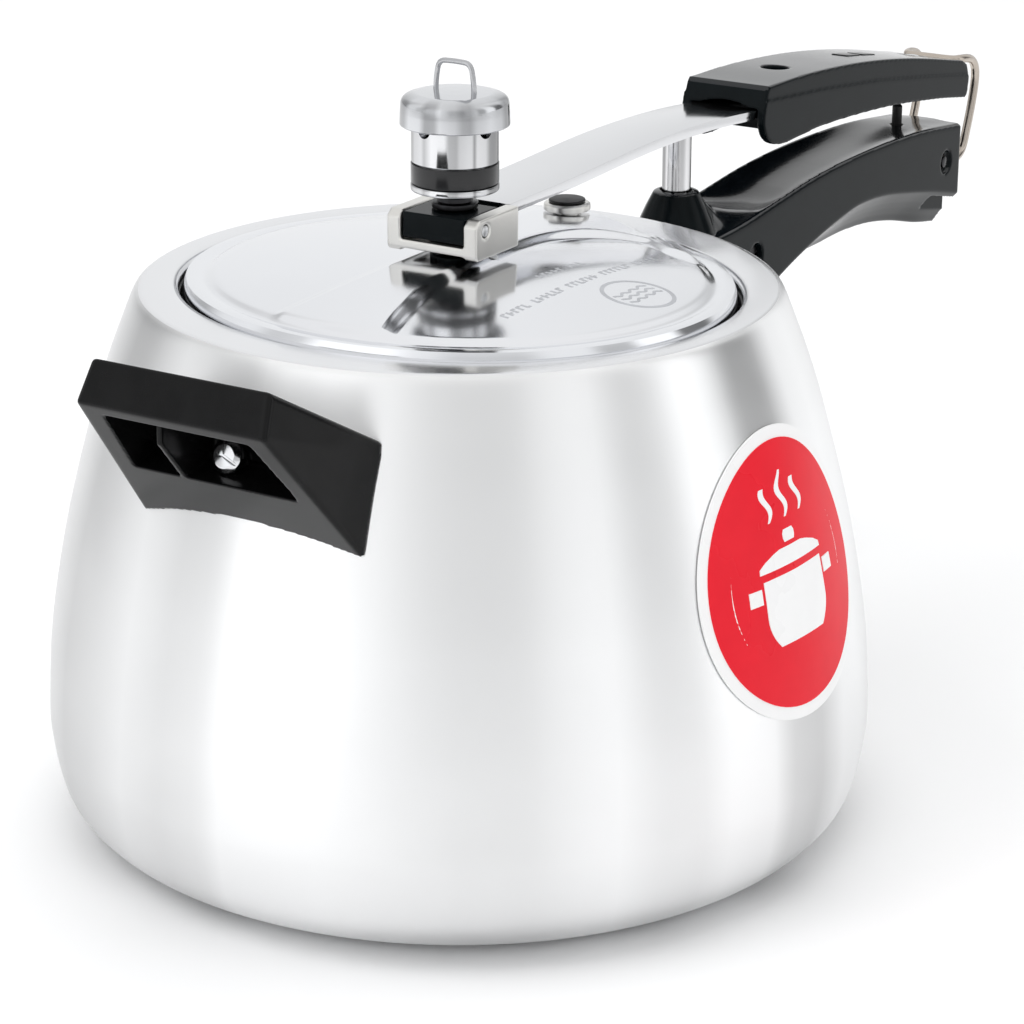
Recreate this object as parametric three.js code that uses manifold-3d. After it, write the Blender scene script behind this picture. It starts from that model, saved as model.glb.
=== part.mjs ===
// Inner-lid stovetop pressure cooker with a long lever handle, in millimetres.
// +X points along the long handle, +Z up; the origin is the centre of the base on the hob.
import * as THREE from 'three';
import { mergeVertices } from 'three/addons/utils/BufferGeometryUtils.js';
import { ParametricGeometry } from 'three/addons/geometries/ParametricGeometry.js';
import Module from 'manifold-3d';

const wasm = await Module();
wasm.setup();

// ---- driving dimensions -------------------------------------------------
const GAP = 0.3;                  // clearance between touching pieces
const WALL = 3.25;                // pot wall
const RIM_Z = 155;                // top of the pot's rim
const RIM_R = 89.2;               // where the wall turns into the flat rim
const MOUTH_X = 72.5;             // oval mouth, half length along the handle
const MOUTH_Y = 79.8;             // oval mouth, half length across the handle
const POT_SIDES = 48;
const POT_STATIONS = [            // outside of the pot: radius, height
  [85, 0], [97.5, 1], [103.3, 3], [109.1, 7], [113.9, 14], [116.8, 27], [117, 37],
  [115.2, 60], [109.8, 90], [102, 120], [97.2, 135], [93.4, 145],
];
const LID_OVERLAP = 4;            // how far the lid reaches under the rim
const LID_SHEET = 2.6;            // lid thickness
const LID_FLANGE_Z = 148.1;       // top of the lid's flange, under the gasket
const BEAD_Z = 156.2;             // top of the bead round the lid
const VALLEY_Z = 156;             // shallow groove inside the bead
const RIDGE_Z = 164;              // top of the ridge at the vent tube
const STEP = 1.3;                 // height of the ridge over the two D-shaped lobes
const STEP_WIDTH = 5;
const TUBE_X = -2;                // vent tube axis
const PIN_X = -9;                 // pin that lets the lid rock on the bar
const PIN_Z = 173;
const FULCRUM_X = 123;            // foot of the post, the lever's fulcrum
const FULCRUM_Z = 152.5;
const LATCH_X = 289;              // pivot of the latch loop
const LATCH_Z = 131.5;
const LATCH_Y = 10.4;             // the loop's legs, half distance
const BAR_HALF = 11.5;            // handle bar, half width
const BAR_SHEET = 2.8;
const LID_HANDLE_HALF = 14.6;
const BODY_HANDLE_HALF = 14.2;
const LOOP_HALF = 6.1;            // wire loop on the weight, half width
const VALVE_X = 58;               // safety valve, along the ridge
const SCREW_X = [186, 287];       // lid handle screws
const BOLT_X = 150;               // bolt through the body handle and its bracket
const BOLT_Z = 129.5;
const PEG_X = 278;                // rubber stop between the handles
const PEG_Z = 142.4;
const HELPER_SCREW_Z = 131;       // stud of the short handle, height on the wall

// ---- materials ----------------------------------------------------------
const aluminium = () => new THREE.MeshStandardMaterial({ color: 0xd9dadc, roughness: 0.3, metalness: 0.9 });
const steel = () => new THREE.MeshStandardMaterial({ color: 0xc6c8ca, roughness: 0.22, metalness: 1 });
const phenolic = () => new THREE.MeshStandardMaterial({ color: 0x17191b, roughness: 0.3, metalness: 0 });
const rubber = () => new THREE.MeshStandardMaterial({ color: 0x141414, roughness: 0.7, metalness: 0 });
const red = () => new THREE.MeshStandardMaterial({ color: 0xe0202e, roughness: 0.35, metalness: 0 });

// ---- solids -------------------------------------------------------------
function solid(geometry) {
  let plain = geometry.clone();
  plain.deleteAttribute('normal');
  plain.deleteAttribute('uv');
  plain = mergeVertices(plain, 1e-3);
  const index = plain.index.array;
  const kept = [];
  for (let i = 0; i < index.length; i += 3) {
    const [a, b, c] = [index[i], index[i + 1], index[i + 2]];
    if (a !== b && b !== c && a !== c) kept.push(a, b, c);
  }
  const mesh = new wasm.Mesh({
    numProp: 3,
    vertProperties: Float32Array.from(plain.attributes.position.array),
    triVerts: Uint32Array.from(kept),
  });
  mesh.merge();
  const body = new wasm.Manifold(mesh);
  return body.volume() < 0 ? solid(flipped(geometry)) : body;
}

function flipped(geometry) {
  const copy = geometry.index ? geometry.toNonIndexed() : geometry.clone();
  const p = copy.attributes.position;
  for (let i = 0; i < p.count; i += 3) {
    const [x, y, z] = [p.getX(i), p.getY(i), p.getZ(i)];
    p.setXYZ(i, p.getX(i + 1), p.getY(i + 1), p.getZ(i + 1));
    p.setXYZ(i + 1, x, y, z);
  }
  return copy;
}

function geometryOf(body) {
  const { vertProperties, triVerts } = body.getMesh();
  const geometry = new THREE.BufferGeometry();
  geometry.setAttribute('position', new THREE.BufferAttribute(vertProperties, 3));
  geometry.setIndex(new THREE.BufferAttribute(triVerts, 1));
  geometry.computeVertexNormals();
  return geometry;
}

function box(x0, x1, y0, y1, z0, z1) {
  const shape = new THREE.BoxGeometry(x1 - x0, y1 - y0, z1 - z0);
  return solid(shape.translate((x0 + x1) / 2, (y0 + y1) / 2, (z0 + z1) / 2));
}

// A turned piece about the vertical axis through (x, y); the profile lists [radius, height].
function turned(profile, segments = 32, x = 0, y = 0) {
  const points = profile.map(([r, z]) => new THREE.Vector2(r, z));
  return solid(new THREE.LatheGeometry(points, segments).rotateX(Math.PI / 2).translate(x, y, 0));
}

function rodZ(x, y, radius, z0, z1, segments = 24) {
  return turned([[0, z0], [radius, z0], [radius, z1], [0, z1]], segments, x, y);
}

function rodY(x, z, radius, y0, y1, segments = 24) {
  const rod = new THREE.CylinderGeometry(radius, radius, y1 - y0, segments);
  return solid(rod.translate(x, (y0 + y1) / 2, z));
}

// A closed ring about the vertical axis; the outline lists [radius, height].
function ring(outline, segments = 64) {
  return turned([...outline, outline[0]], segments);
}

// A side view outline of [x, z] points, extruded across the handle.
function slab(outline, halfWidth, bevel = 0) {
  const shape = new THREE.Shape(outline.map(([x, z]) => new THREE.Vector2(x, z)));
  const body = new THREE.ExtrudeGeometry(shape, {
    depth: 2 * (halfWidth - bevel), bevelEnabled: bevel > 0, bevelSegments: 1,
    bevelThickness: bevel, bevelSize: bevel, bevelOffset: -bevel,
  });
  return solid(body.translate(0, 0, bevel - halfWidth).rotateX(Math.PI / 2));
}

function smooth(points, count) {
  const curve = new THREE.SplineCurve(points.map(([a, b]) => new THREE.Vector2(a, b)));
  return curve.getPoints(count).map((p) => [p.x, p.y]);
}

// A round wire through 3-D points.
function wire(points, radius, steps, sides = 8) {
  const path = new THREE.CatmullRomCurve3(points.map((p) => new THREE.Vector3(...p)), false, 'centripetal');
  const section = new THREE.Shape().absarc(0, 0, radius, 0, 2 * Math.PI);
  return solid(new THREE.ExtrudeGeometry(section, { steps, extrudePath: path, curveSegments: sides }));
}

// A closed skin through a list of rings, each a list of [x, y, z]; the ends close on their centres.
function loft(rings) {
  const middle = (points) => [0, 1, 2].map((k) => points.reduce((s, p) => s + p[k], 0) / points.length);
  const last = rings.length - 1;
  const rows = [rings[0].map(() => middle(rings[0])), ...rings, rings[last].map(() => middle(rings[last]))];
  const around = rings[0].length;
  const place = (u, v, target) => {
    const row = rows[Math.round(v * (rows.length - 1))];
    target.set(...row[Math.round(u * around) % around]);
  };
  return solid(new ParametricGeometry(place, around, rows.length - 1));
}

// ---- shapes shared by several pieces ------------------------------------
function potOutline(offset) {
  return smooth(POT_STATIONS, 16).map(([r, z]) => [r + offset, z]);
}

// The pot's outside grown by an offset, as a solid without its hollow.
function potForm(offset) {
  return turned([[0, -offset], ...potOutline(offset), [RIM_R + offset, RIM_Z - 1.5],
    [RIM_R - 1 + offset, RIM_Z + offset], [0, RIM_Z + offset]], POT_SIDES);
}

function potRadius(z) {
  const side = potOutline(0);
  const i = Math.max(1, side.findIndex(([, height]) => height >= z));
  const [[r0, z0], [r1, z1]] = [side[i - 1], side[i]];
  return r0 + ((r1 - r0) * (z - z0)) / (z1 - z0);
}

// Turns a piece built along +Z so that it leaves the pot wall squarely at an azimuth and height.
function onWall(body, azimuth, z, lift = 0) {
  const slope = (potRadius(z + 2) - potRadius(z - 2)) / 4;
  const outward = new THREE.Vector3(Math.cos(azimuth), Math.sin(azimuth), -slope).normalize();
  const turn = new THREE.Quaternion().setFromUnitVectors(new THREE.Vector3(0, 0, 1), outward);
  const foot = new THREE.Vector3(Math.cos(azimuth) * potRadius(z), Math.sin(azimuth) * potRadius(z), z);
  foot.addScaledVector(outward, lift);
  return body.transform(new THREE.Matrix4().compose(foot, turn, new THREE.Vector3(1, 1, 1)).elements);
}

function heightOn(line, x) {
  const i = Math.max(1, line.findIndex(([along]) => along >= x));
  const [[x0, z0], [x1, z1]] = [line[i - 1], line[i]];
  return z0 + ((z1 - z0) * (x - x0)) / (x1 - x0);
}

const barTop = smooth([[3, 176.4], [40, 176.8], [85, 178.2], [120, 177.6], [150, 175.4], [205, 170.3], [275, 163],
  [300, 159.8]], 24);

// Side view of a sheet that follows a top line from one x to another.
function strip(top, thickness, from, to) {
  const middle = top.filter(([x]) => x > from && x < to);
  const part = [[from, heightOn(top, from)], ...middle, [to, heightOn(top, to)]];
  return [...part, ...part.map(([x, z]) => [x, z - thickness]).reverse()];
}

// ---- pot ----------------------------------------------------------------
const rivetSpots = [-1, 1].flatMap((side) => [113, 134].map((z) => [side * 0.1, z]));

function potBody() {
  const inside = smooth(POT_STATIONS, 16).slice(4).map(([r, z]) => [r - WALL, z]);
  const hollow = turned([[0, 4], [99, 4], [103.5, 6], ...inside.filter(([, z]) => z > 9),
    [RIM_R - WALL, RIM_Z - WALL], [0, RIM_Z - WALL]], POT_SIDES);
  const mouth = turned([[0, 140], [MOUTH_Y, 140], [MOUTH_Y, 160], [0, 160]], POT_SIDES);
  const oval = mouth.scale([MOUTH_X / MOUTH_Y, 1, 1]);
  let pot = potForm(0).subtract(hollow).subtract(oval);
  for (const [azimuth, z] of rivetSpots) {
    pot = pot.subtract(onWall(rodZ(0, 0, 2.9, -8, 4, 16), azimuth, z));
  }
  return pot.subtract(onWall(rodZ(0, 0, 3.4, -8, 4, 16), Math.PI, HELPER_SCREW_Z));
}

function rivet() {
  return turned([[0, -WALL - 2.4], [2.6, -WALL - 2.2], [4.6, -WALL - 0.9], [4.6, -WALL - GAP],
    [2.6, -WALL - GAP], [2.6, 2.7], [0, 2.7]], 16);
}

// The red oval on the side, wrapped on the wall.
function label() {
  const [halfAngle, halfHeight, middle, azimuth] = [0.345, 38.4, 92.8, -1.63];
  const place = (skin) => (s, t) => {
    const z = middle + halfHeight * s * Math.sin(t);
    const angle = azimuth + halfAngle * s * Math.cos(t);
    const r = potRadius(z) + 0.65 + skin;
    return [r * Math.cos(angle), r * Math.sin(angle), z];
  };
  const rings = [];
  for (const [skin, scales] of [[0, [0.2, 0.6, 1]], [0.4, [1, 0.6, 0.2]]]) {
    for (const s of scales) {
      rings.push(Array.from({ length: 40 }, (_, i) => place(skin)(s, (i / 40) * 2 * Math.PI)));
    }
  }
  return loft(rings);
}

// ---- lid ----------------------------------------------------------------
const LID_X = MOUTH_X + LID_OVERLAP;
const LID_Y = MOUTH_Y + LID_OVERLAP;

const { smoothstep, lerp } = THREE.MathUtils;

// The ridge falls with the dome behind the tube, but stays high in front of it, under the safety valve.
function ridgeHeight(x) {
  const shelf = RIDGE_Z - 1.8 * (x / VALVE_X) ** 2;
  return lerp(shelf, BEAD_Z, smoothstep(x, VALVE_X + 3, VALVE_X + 11));
}

function smoothMin(a, b, reach) {
  const h = Math.min(1, Math.max(0, 0.5 + (0.5 * (b - a)) / reach));
  return lerp(b, a, h) - reach * h * (1 - h);
}

function lidTop(x, y) {
  const rho = Math.hypot(x / LID_X, y / LID_Y);
  if (rho > 0.932) return LID_FLANGE_Z;
  const bead = (BEAD_Z - VALLEY_Z) * Math.max(0, 1 - ((rho - 0.9) / 0.032) ** 2);
  if (rho > 0.87) return VALLEY_Z + bead;
  const across = Math.abs(y);
  const half = x < 0 ? 6.5 + 8.5 * (x / 63) ** 2 : 7.5 + 16 * (x / 52) ** 4;
  const lobeEdge = 0.95 - 0.18 * smoothstep(x / (LID_X * rho), 0.55, 0.8);
  const inLobe = smoothstep(smoothMin(across - half - STEP_WIDTH / 2, (lobeEdge - rho) * 78, 6),
    -STEP_WIDTH / 2, STEP_WIDTH / 2);
  const dome = RIDGE_Z - 5.4 * (rho / 0.84) ** 2.2;
  const ridge = x < 0 ? dome : lerp(Math.max(dome, ridgeHeight(x)), dome, smoothstep(across, 6, 27));
  return lerp(lerp(ridge, dome - STEP, inLobe), VALLEY_Z, smoothstep(rho, 0.825, 0.87));
}

function lid() {
  const steps = [0.11, 0.17, 0.24, 0.33, 0.43, 0.53, 0.63, 0.73, 0.8, 0.84, 0.868, 0.9, 0.926, 0.933, 1];
  const around = 48;
  const ringAt = (rho, drop) => Array.from({ length: around }, (_, i) => {
    const t = (i / around) * 2 * Math.PI;
    const [x, y] = [LID_X * rho * Math.cos(t), LID_Y * rho * Math.sin(t)];
    return [x, y, lidTop(x, y) - drop];
  });
  const under = steps.map((rho) => ringAt(rho > 0.92 && rho < 0.95 ? rho - 0.034 : rho, LID_SHEET));
  const over = [...steps].reverse().map((rho) => ringAt(rho, 0));
  const holes = rodZ(TUBE_X, 0, 5.4, 140, 170).add(rodZ(VALVE_X, 0, 4.4, 140, 170));
  return loft([...under, ...over]).subtract(holes);
}

// Rubber ring in the corner between the lid's flange and the rim, gripping the flange's edge.
function gasket() {
  const [under, top] = [LID_FLANGE_Z - LID_SHEET - GAP, RIM_Z - WALL - GAP];
  const outline = [
    [LID_Y - 6, under - 2], [LID_Y + 1.7, under - 2], [LID_Y + 1.7, top], [LID_Y - 4.6, top],
    [LID_Y - 4.6, LID_FLANGE_Z + GAP], [LID_Y + GAP, LID_FLANGE_Z + GAP], [LID_Y + GAP, under],
    [LID_Y - 6, under],
  ];
  return ring(outline, 44).scale([LID_X / LID_Y, 1, 1]);
}

// Black block pinned in the bar's channel; its boss stands on the ridge round the vent tube.
function pivotBlock() {
  const outline = [[-13, 169], [4.6, 171.4], [4.6, 176.2], [-13, 176.2]];
  const body = slab(outline, 9.9).add(rodZ(TUBE_X, 0, 7, RIDGE_Z + GAP, 172));
  return body.subtract(rodZ(TUBE_X, 0, 5.3, 160, 180)).subtract(rodY(PIN_X, PIN_Z, 1.9, -12, 12, 16));
}

function ventTube() {
  const outline = [[2, 139], [5, 139], [5, 176.5], [6.4, 176.5], [6.4, 178.2], [5, 178.2], [5, 184],
    [3.6, 188.4], [2, 188.4]];
  return ring(outline, 24).translate([TUBE_X, 0, 0]);
}

function hexNut(x, across, bore, z0, z1) {
  const prism = new THREE.CylinderGeometry(across / Math.sqrt(3), across / Math.sqrt(3), z1 - z0, 6);
  const nut = solid(prism.rotateX(Math.PI / 2).translate(x, 0, (z0 + z1) / 2));
  return nut.subtract(rodZ(x, 0, bore, z0 - 1, z1 + 1, 20));
}

// ---- vent weight --------------------------------------------------------
function weightBody() {
  const outline = [[5.8, 181.5], [12.2, 181.5], [12.2, 183.4], [10.9, 183.4], [10.9, 189.5], [12, 189.5],
    [12, 203.4], [3.4, 203.4], [3.4, 195], [5.8, 191.5]];
  let shell = ring(outline, 24);
  for (let i = 0; i < 4; i += 1) {
    const slot = rodY(0, 199.6, 2.3, 8, 14, 12).rotate([0, 0, 90 * i - 12.4]);
    shell = shell.subtract(slot);
  }
  return shell.translate([TUBE_X, 0, 0]);
}

function weightCap() {
  const outline = [[0, 204.2], [12.9, 203.6], [13.9, 199.5], [15.2, 199.5], [14.6, 204.6], [12.6, 207.2],
    [7, 208.4], [0, 208.7]];
  const feet = [-1, 1].map((side) => rodZ(0, side * LOOP_HALF, 1.05, 205.5, 212, 12));
  return turned(outline, 28).subtract(feet[0]).subtract(feet[1]).translate([TUBE_X, 0, 0]);
}

function weightLoop() {
  const [foot, shoulder, top] = [206, 213.6, 216.4];
  const side = (s) => [foot, 210, shoulder].map((z) => [TUBE_X, s * LOOP_HALF, z]);
  return wire([...side(-1), [TUBE_X, -4.6, top], [TUBE_X, 0, top + 0.3], [TUBE_X, 4.6, top],
    ...side(1).reverse()], 0.75, 26, 3);
}

// ---- safety valve -------------------------------------------------------
const valveSeat = ridgeHeight(VALVE_X - 6.8) + GAP;
const valveUnder = ridgeHeight(VALVE_X + 7) - LID_SHEET - 4 * GAP;

function valveBody() {
  const [z, end] = [valveSeat, valveUnder - 4];
  const outline = [[1.5, end], [4, end], [4, z], [6.8, z], [6.8, z + 1.7], [6, z + 2.2], [1.5, z + 2.2]];
  return ring(outline, 24).translate([VALVE_X, 0, 0]);
}

// ---- handle bar ---------------------------------------------------------
function handleBar() {
  const [back, front, outer, inner] = [8, -14, 14.5, 10.2];
  const blank = box(front, back, -outer, outer, 165.2, 176.5);
  const trough = box(front - 1, back + 1, -inner, inner, 168.4, 180);
  const under = box(front - 1, back + 1, -inner, inner, 160, 166.2);
  const slot = box(-11.2, back + 1, -8.6, 8.6, 160, 170);
  const channel = blank.subtract(trough).subtract(under).subtract(slot);
  const flat = slab(strip(barTop, BAR_SHEET, 5.6, 296), BAR_HALF);
  let bar = channel.add(flat).subtract(rodY(PIN_X, PIN_Z, 1.9, -16, 16, 16));
  for (const x of SCREW_X) bar = bar.subtract(rodZ(x, 0, 2.5, 150, 190, 16));
  return bar.subtract(rodZ(FULCRUM_X, 0, 3.3, 170, 185, 20));
}

// Steel post riveted in the bar; its round foot is the lever's fulcrum.
function fulcrumPost() {
  const foot = Array.from({ length: 5 }, (_, i) => {
    const t = (i / 4) * (Math.PI / 2);
    return [4.4 * Math.sin(t), FULCRUM_Z - 4.4 * Math.cos(t)];
  });
  const underBar = 177.5 - BAR_SHEET - GAP;
  return turned([...foot, [4.4, underBar], [3, underBar], [3, 177.6], [0, 177.6]], 24, FULCRUM_X);
}

// ---- lid handle ---------------------------------------------------------
function lidHandle() {
  const top = smooth([[155.5, 182.5], [186, 181.5], [222, 178.4], [258, 173.2], [299, 165.2]], 14);
  const bottom = smooth([[301, 152], [277, 155.8], [239, 160.3], [195, 163], [168, 162.5], [160, 163.4]], 12);
  const outline = [...top, [304, 160.2], ...bottom, [154.5, 165.5], [151.5, 169.5], [153.5, 175]];
  const cover = slab(outline, LID_HANDLE_HALF, 1.2);
  const socketTop = barTop.map(([x, z]) => [x, z + 0.4]);
  const socket = slab(strip(socketTop, BAR_SHEET + 0.8, 140, 297.5), BAR_HALF + 0.4);
  const mouth = slab([[148, 160], [178, 160], [178, 172], [161, 177.2], [148, 177.2]], BAR_HALF + 0.6);
  let handle = cover.subtract(socket).subtract(mouth);
  for (const x of SCREW_X) {
    handle = handle.subtract(rodZ(x, 0, 2.6, 150, 190, 16));
    handle = handle.subtract(rodZ(x, 0, 4.4, screwSeat(x), 190, 20));
    handle = handle.subtract(rodZ(x, 0, 4.6, 150, screwFoot(x), 20));
  }
  return handle;
}

const barHeight = (x) => heightOn(barTop, x);
const screwSeat = (x) => barHeight(x) + 3.4;
const screwFoot = (x) => barHeight(x) - 4.6;

function handleScrew(x) {
  const seat = screwSeat(x) + GAP;
  const outline = [[0, screwFoot(x) - 2.4], [2.1, screwFoot(x) - 2.4], [2.1, seat], [4, seat], [4, seat + 1.6],
    [2.4, seat + 2.2], [0, seat + 2.2]];
  return turned(outline, 20, x);
}

function handleNut(x) {
  return hexNut(x, 7, 2.4, screwFoot(x) - 2.4, screwFoot(x) - GAP);
}

// ---- body handle --------------------------------------------------------
const rimLine = [[108, 141], [140, 141.9], [165, 144.4], [190, 146.8], [215, 147.8], [242, 147.6],
  [270, 146.2], [300, 143]];
const sideLine = [[108, 101], [140, 109.5], [165, 118.8], [190, 125.4], [215, 129.8], [228, 130.6], [244, 129.4],
  [263, 126.2], [283, 122.2], [300, 118.2]];
const keelLine = [[108, 99], [140, 106.5], [165, 114.6], [190, 118.4], [214, 119], [228, 119.2], [246, 118],
  [265, 114.8], [285, 109.8], [300, 107]];

function bodyHandleSection(x) {
  const [rim, side, keel] = [heightOn(rimLine, x), heightOn(sideLine, x), heightOn(keelLine, x)];
  const w = BODY_HANDLE_HALF;
  const dip = 4.2 * THREE.MathUtils.smoothstep(x, 118, 160) * (1 - 0.5 * THREE.MathUtils.smoothstep(x, 250, 300));
  const half = [[0, rim - dip], [w * 0.45, rim - dip * 0.72], [w - 2, rim], [w, rim - 2], [w, side],
    [w * 0.36, keel]];
  const mirrored = half.slice(1).reverse().map(([y, z]) => [-y, z]);
  return [...half, [0, keel], ...mirrored].map(([y, z]) => [x, y, z]);
}

function bodyHandle() {
  const stations = Array.from({ length: 18 }, (_, i) => 96 + 12 * i);
  const boss = turned([[0, 128], [12.8, 128], [12.6, 141], [9.5, 149], [6.9, 155], [0, 155]], 28, FULCRUM_X);
  const fin = box(90, 168.5, -2.4, 2.4, 90, 140.2).intersect(finForm(0.4));
  const slots = [-1, 1].map((side) => side * LATCH_Y)
    .map((y) => box(LATCH_X - 8, 302, y - 1.9, y + 1.9, 95, LATCH_Z + 5.2));
  return loft(stations.map(bodyHandleSection)).add(boss)
    .subtract(turned([[0, 147.6], [3, 147.6], [4.9, 150.2], [4.9, 158], [0, 158]], 28, FULCRUM_X))
    .subtract(potForm(3.6)).subtract(fin).subtract(slots[0]).subtract(slots[1])
    .subtract(rodY(LATCH_X, LATCH_Z, 2.3, -20, 20, 20))
    .subtract(rodY(BOLT_X, BOLT_Z, 2.4, -20, 20, 20))
    .subtract(rodY(BOLT_X, BOLT_Z, 4.3, -20, 4.2 - BODY_HANDLE_HALF, 20))
    .subtract(rodY(BOLT_X, BOLT_Z, 4.3, BODY_HANDLE_HALF - 4.2, 20, 20))
    .subtract(rodZ(PEG_X, 0, 2, PEG_Z - 5, PEG_Z + 8, 16));
}

function finForm(grow) {
  return slab([[98, 109 - grow], [135, 118 - grow], [167 + grow, 123 - grow], [167 + grow, 135 + grow],
    [135, 137 + grow], [98, 138.5 + grow]], 1.9 + grow);
}

// Curved plate riveted to the wall with a fin that the long handle is bolted to.
function handleBracket() {
  const plate = potForm(3.3).intersect(box(80, 118, -14, 14, 105, 141));
  let bracket = plate.add(finForm(0).intersect(box(94, 170, -4, 4, 100, 140))).subtract(potForm(GAP));
  for (const [azimuth, z] of rivetSpots) {
    bracket = bracket.subtract(onWall(rodZ(0, 0, 2.9, -8, 8, 16), azimuth, z));
  }
  return bracket.subtract(rodY(BOLT_X, BOLT_Z, 2.4, -5, 5, 20));
}

function crossBolt() {
  const seat = BODY_HANDLE_HALF - 4.2 + GAP;
  const head = solid(new THREE.CylinderGeometry(3.9, 3.9, 2.2, 20).translate(BOLT_X, -seat - 1.1, BOLT_Z));
  return head.add(rodY(BOLT_X, BOLT_Z, 2.1, -seat - 0.5, seat + 3, 16));
}

function crossNut() {
  const end = BODY_HANDLE_HALF - 4.2 + GAP;
  const prism = new THREE.CylinderGeometry(3.9, 3.9, 2.6, 6).translate(BOLT_X, end + 1.3, BOLT_Z);
  return solid(prism).subtract(rodY(BOLT_X, BOLT_Z, 2.35, 5, 16, 16));
}

function stopPeg() {
  const [foot, shoulder, tip] = [PEG_Z - 4, PEG_Z + 9.4, PEG_Z + 10];
  return turned([[0, foot], [1.7, foot], [1.7, shoulder], [1.2, tip], [0, tip]], 14, PEG_X);
}

// ---- latch loop ---------------------------------------------------------
function latchLoop() {
  const side = [[LATCH_X + 3.6, LATCH_Z - 0.6], [303, 129], [309.5, 131.5], [315.5, 145], [318, 156], [315, 161.5]];
  const leg = (s) => [...side.map(([x, z]) => [x, s * LATCH_Y, z]), [307, s * (LATCH_Y - 0.4), 163.8]];
  const across = [[303, -8.5, 164], [302.6, 0, 164], [303, 8.5, 164]];
  let loop = wire([...leg(-1), ...across, ...leg(1).reverse()], 1.5, 40, 2);
  for (const side of [-1, 1]) {
    loop = loop.add(rodY(LATCH_X, LATCH_Z, 4.2, side * LATCH_Y - 1.5, side * LATCH_Y + 1.5, 20));
  }
  return loop.subtract(rodY(LATCH_X, LATCH_Z, 2.3, -20, 20, 20));
}

// ---- helper handle ------------------------------------------------------
function wedge(inner, outer) {
  const quad = ([[xt, yt, zt], [xb, yb, zb]]) => [[xt, yt, zt], [xt, -yt, zt], [xb, -yb, zb], [xb, yb, zb]];
  return loft([quad(inner), quad(outer)]);
}

function helperHandle() {
  const body = wedge([[-78, 36.7, 132.4], [-87, 37.1, 96.6]], [[-127.5, 27.5, 161], [-132.8, 29.3, 150.3]]);
  const hollow = wedge([[-101, 27, 142.4], [-102.5, 27, 131.5]], [[-125.3, 22.5, 156.6], [-128.6, 22, 151.2]]);
  const mouth = wedge([[-103, 26, 141], [-104, 26, 131.5]], [[-134, 22, 148.2], [-140, 24, 122]]);
  const screw = onWall(rodZ(0, 0, 2.6, -5, 60, 20).add(rodZ(0, 0, 7.6, 9.5, 60, 24)), Math.PI, HELPER_SCREW_Z);
  const recess = potForm(3.4).intersect(box(-130, -80, -15.4, 15.4, 121.4, 139.5));
  return body.subtract(potForm(GAP)).subtract(recess).subtract(hollow).subtract(mouth).subtract(screw);
}

// Curved steel pad behind the short handle.
function helperPad() {
  const plate = potForm(3).intersect(box(-125, -80, -15, 15, 121.8, 139)).subtract(potForm(GAP));
  return plate.subtract(onWall(rodZ(0, 0, 3.4, -8, 8, 16), Math.PI, HELPER_SCREW_Z));
}

function helperScrew() {
  const outline = [[0, -WALL - 2.2], [3, -WALL - 2.2], [5.6, -WALL - 1], [5.6, -WALL - GAP], [2.2, -WALL - GAP],
    [2.2, 11.5], [0, 11.5]];
  return onWall(turned(outline, 20), Math.PI, HELPER_SCREW_Z);
}

function helperNut() {
  const outline = [[2.5, 9.8], [4.6, 9.8], [4.6, 11.4], [3.4, 12.6], [2.5, 12.6]];
  return onWall(ring(outline, 20), Math.PI, HELPER_SCREW_Z);
}

// ---- assembly -----------------------------------------------------------
const cooker = new THREE.Group();

function place(group, name, body, material) {
  const mesh = new THREE.Mesh(geometryOf(body), material());
  mesh.name = name;
  group.add(mesh);
}

const pot = new THREE.Group();
place(pot, 'pot_body', potBody(), aluminium);
place(pot, 'side_label', label(), red);
place(pot, 'handle_bracket', handleBracket(), steel);
rivetSpots.forEach(([azimuth, z], i) => {
  place(pot, `bracket_rivet_${i + 1}`, onWall(rivet(), azimuth, z), aluminium);
});
place(pot, 'body_handle', bodyHandle(), phenolic);
place(pot, 'body_handle_bolt', crossBolt(), steel);
place(pot, 'body_handle_nut', crossNut(), steel);
place(pot, 'handle_stop_peg', stopPeg(), rubber);
place(pot, 'latch_pin', rodY(LATCH_X, LATCH_Z, 2, -13.6, 13.6, 16), steel);
place(pot, 'helper_pad', helperPad(), steel);
place(pot, 'helper_handle', helperHandle(), phenolic);
place(pot, 'helper_stud', helperScrew(), aluminium);
place(pot, 'helper_screw_nut', helperNut(), steel);

const latch = new THREE.Group();
place(latch, 'latch_loop', latchLoop(), steel);

const lever = new THREE.Group();
place(lever, 'handle_bar', handleBar(), steel);
place(lever, 'fulcrum_post', fulcrumPost(), steel);
place(lever, 'lid_handle', lidHandle(), phenolic);
SCREW_X.forEach((x, i) => {
  place(lever, `lid_handle_screw_${i + 1}`, handleScrew(x), steel);
  place(lever, `lid_handle_nut_${i + 1}`, handleNut(x), steel);
});
place(lever, 'pivot_pin', rodY(PIN_X, PIN_Z, 1.6, -14.3, 14.3, 16), steel);

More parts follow.
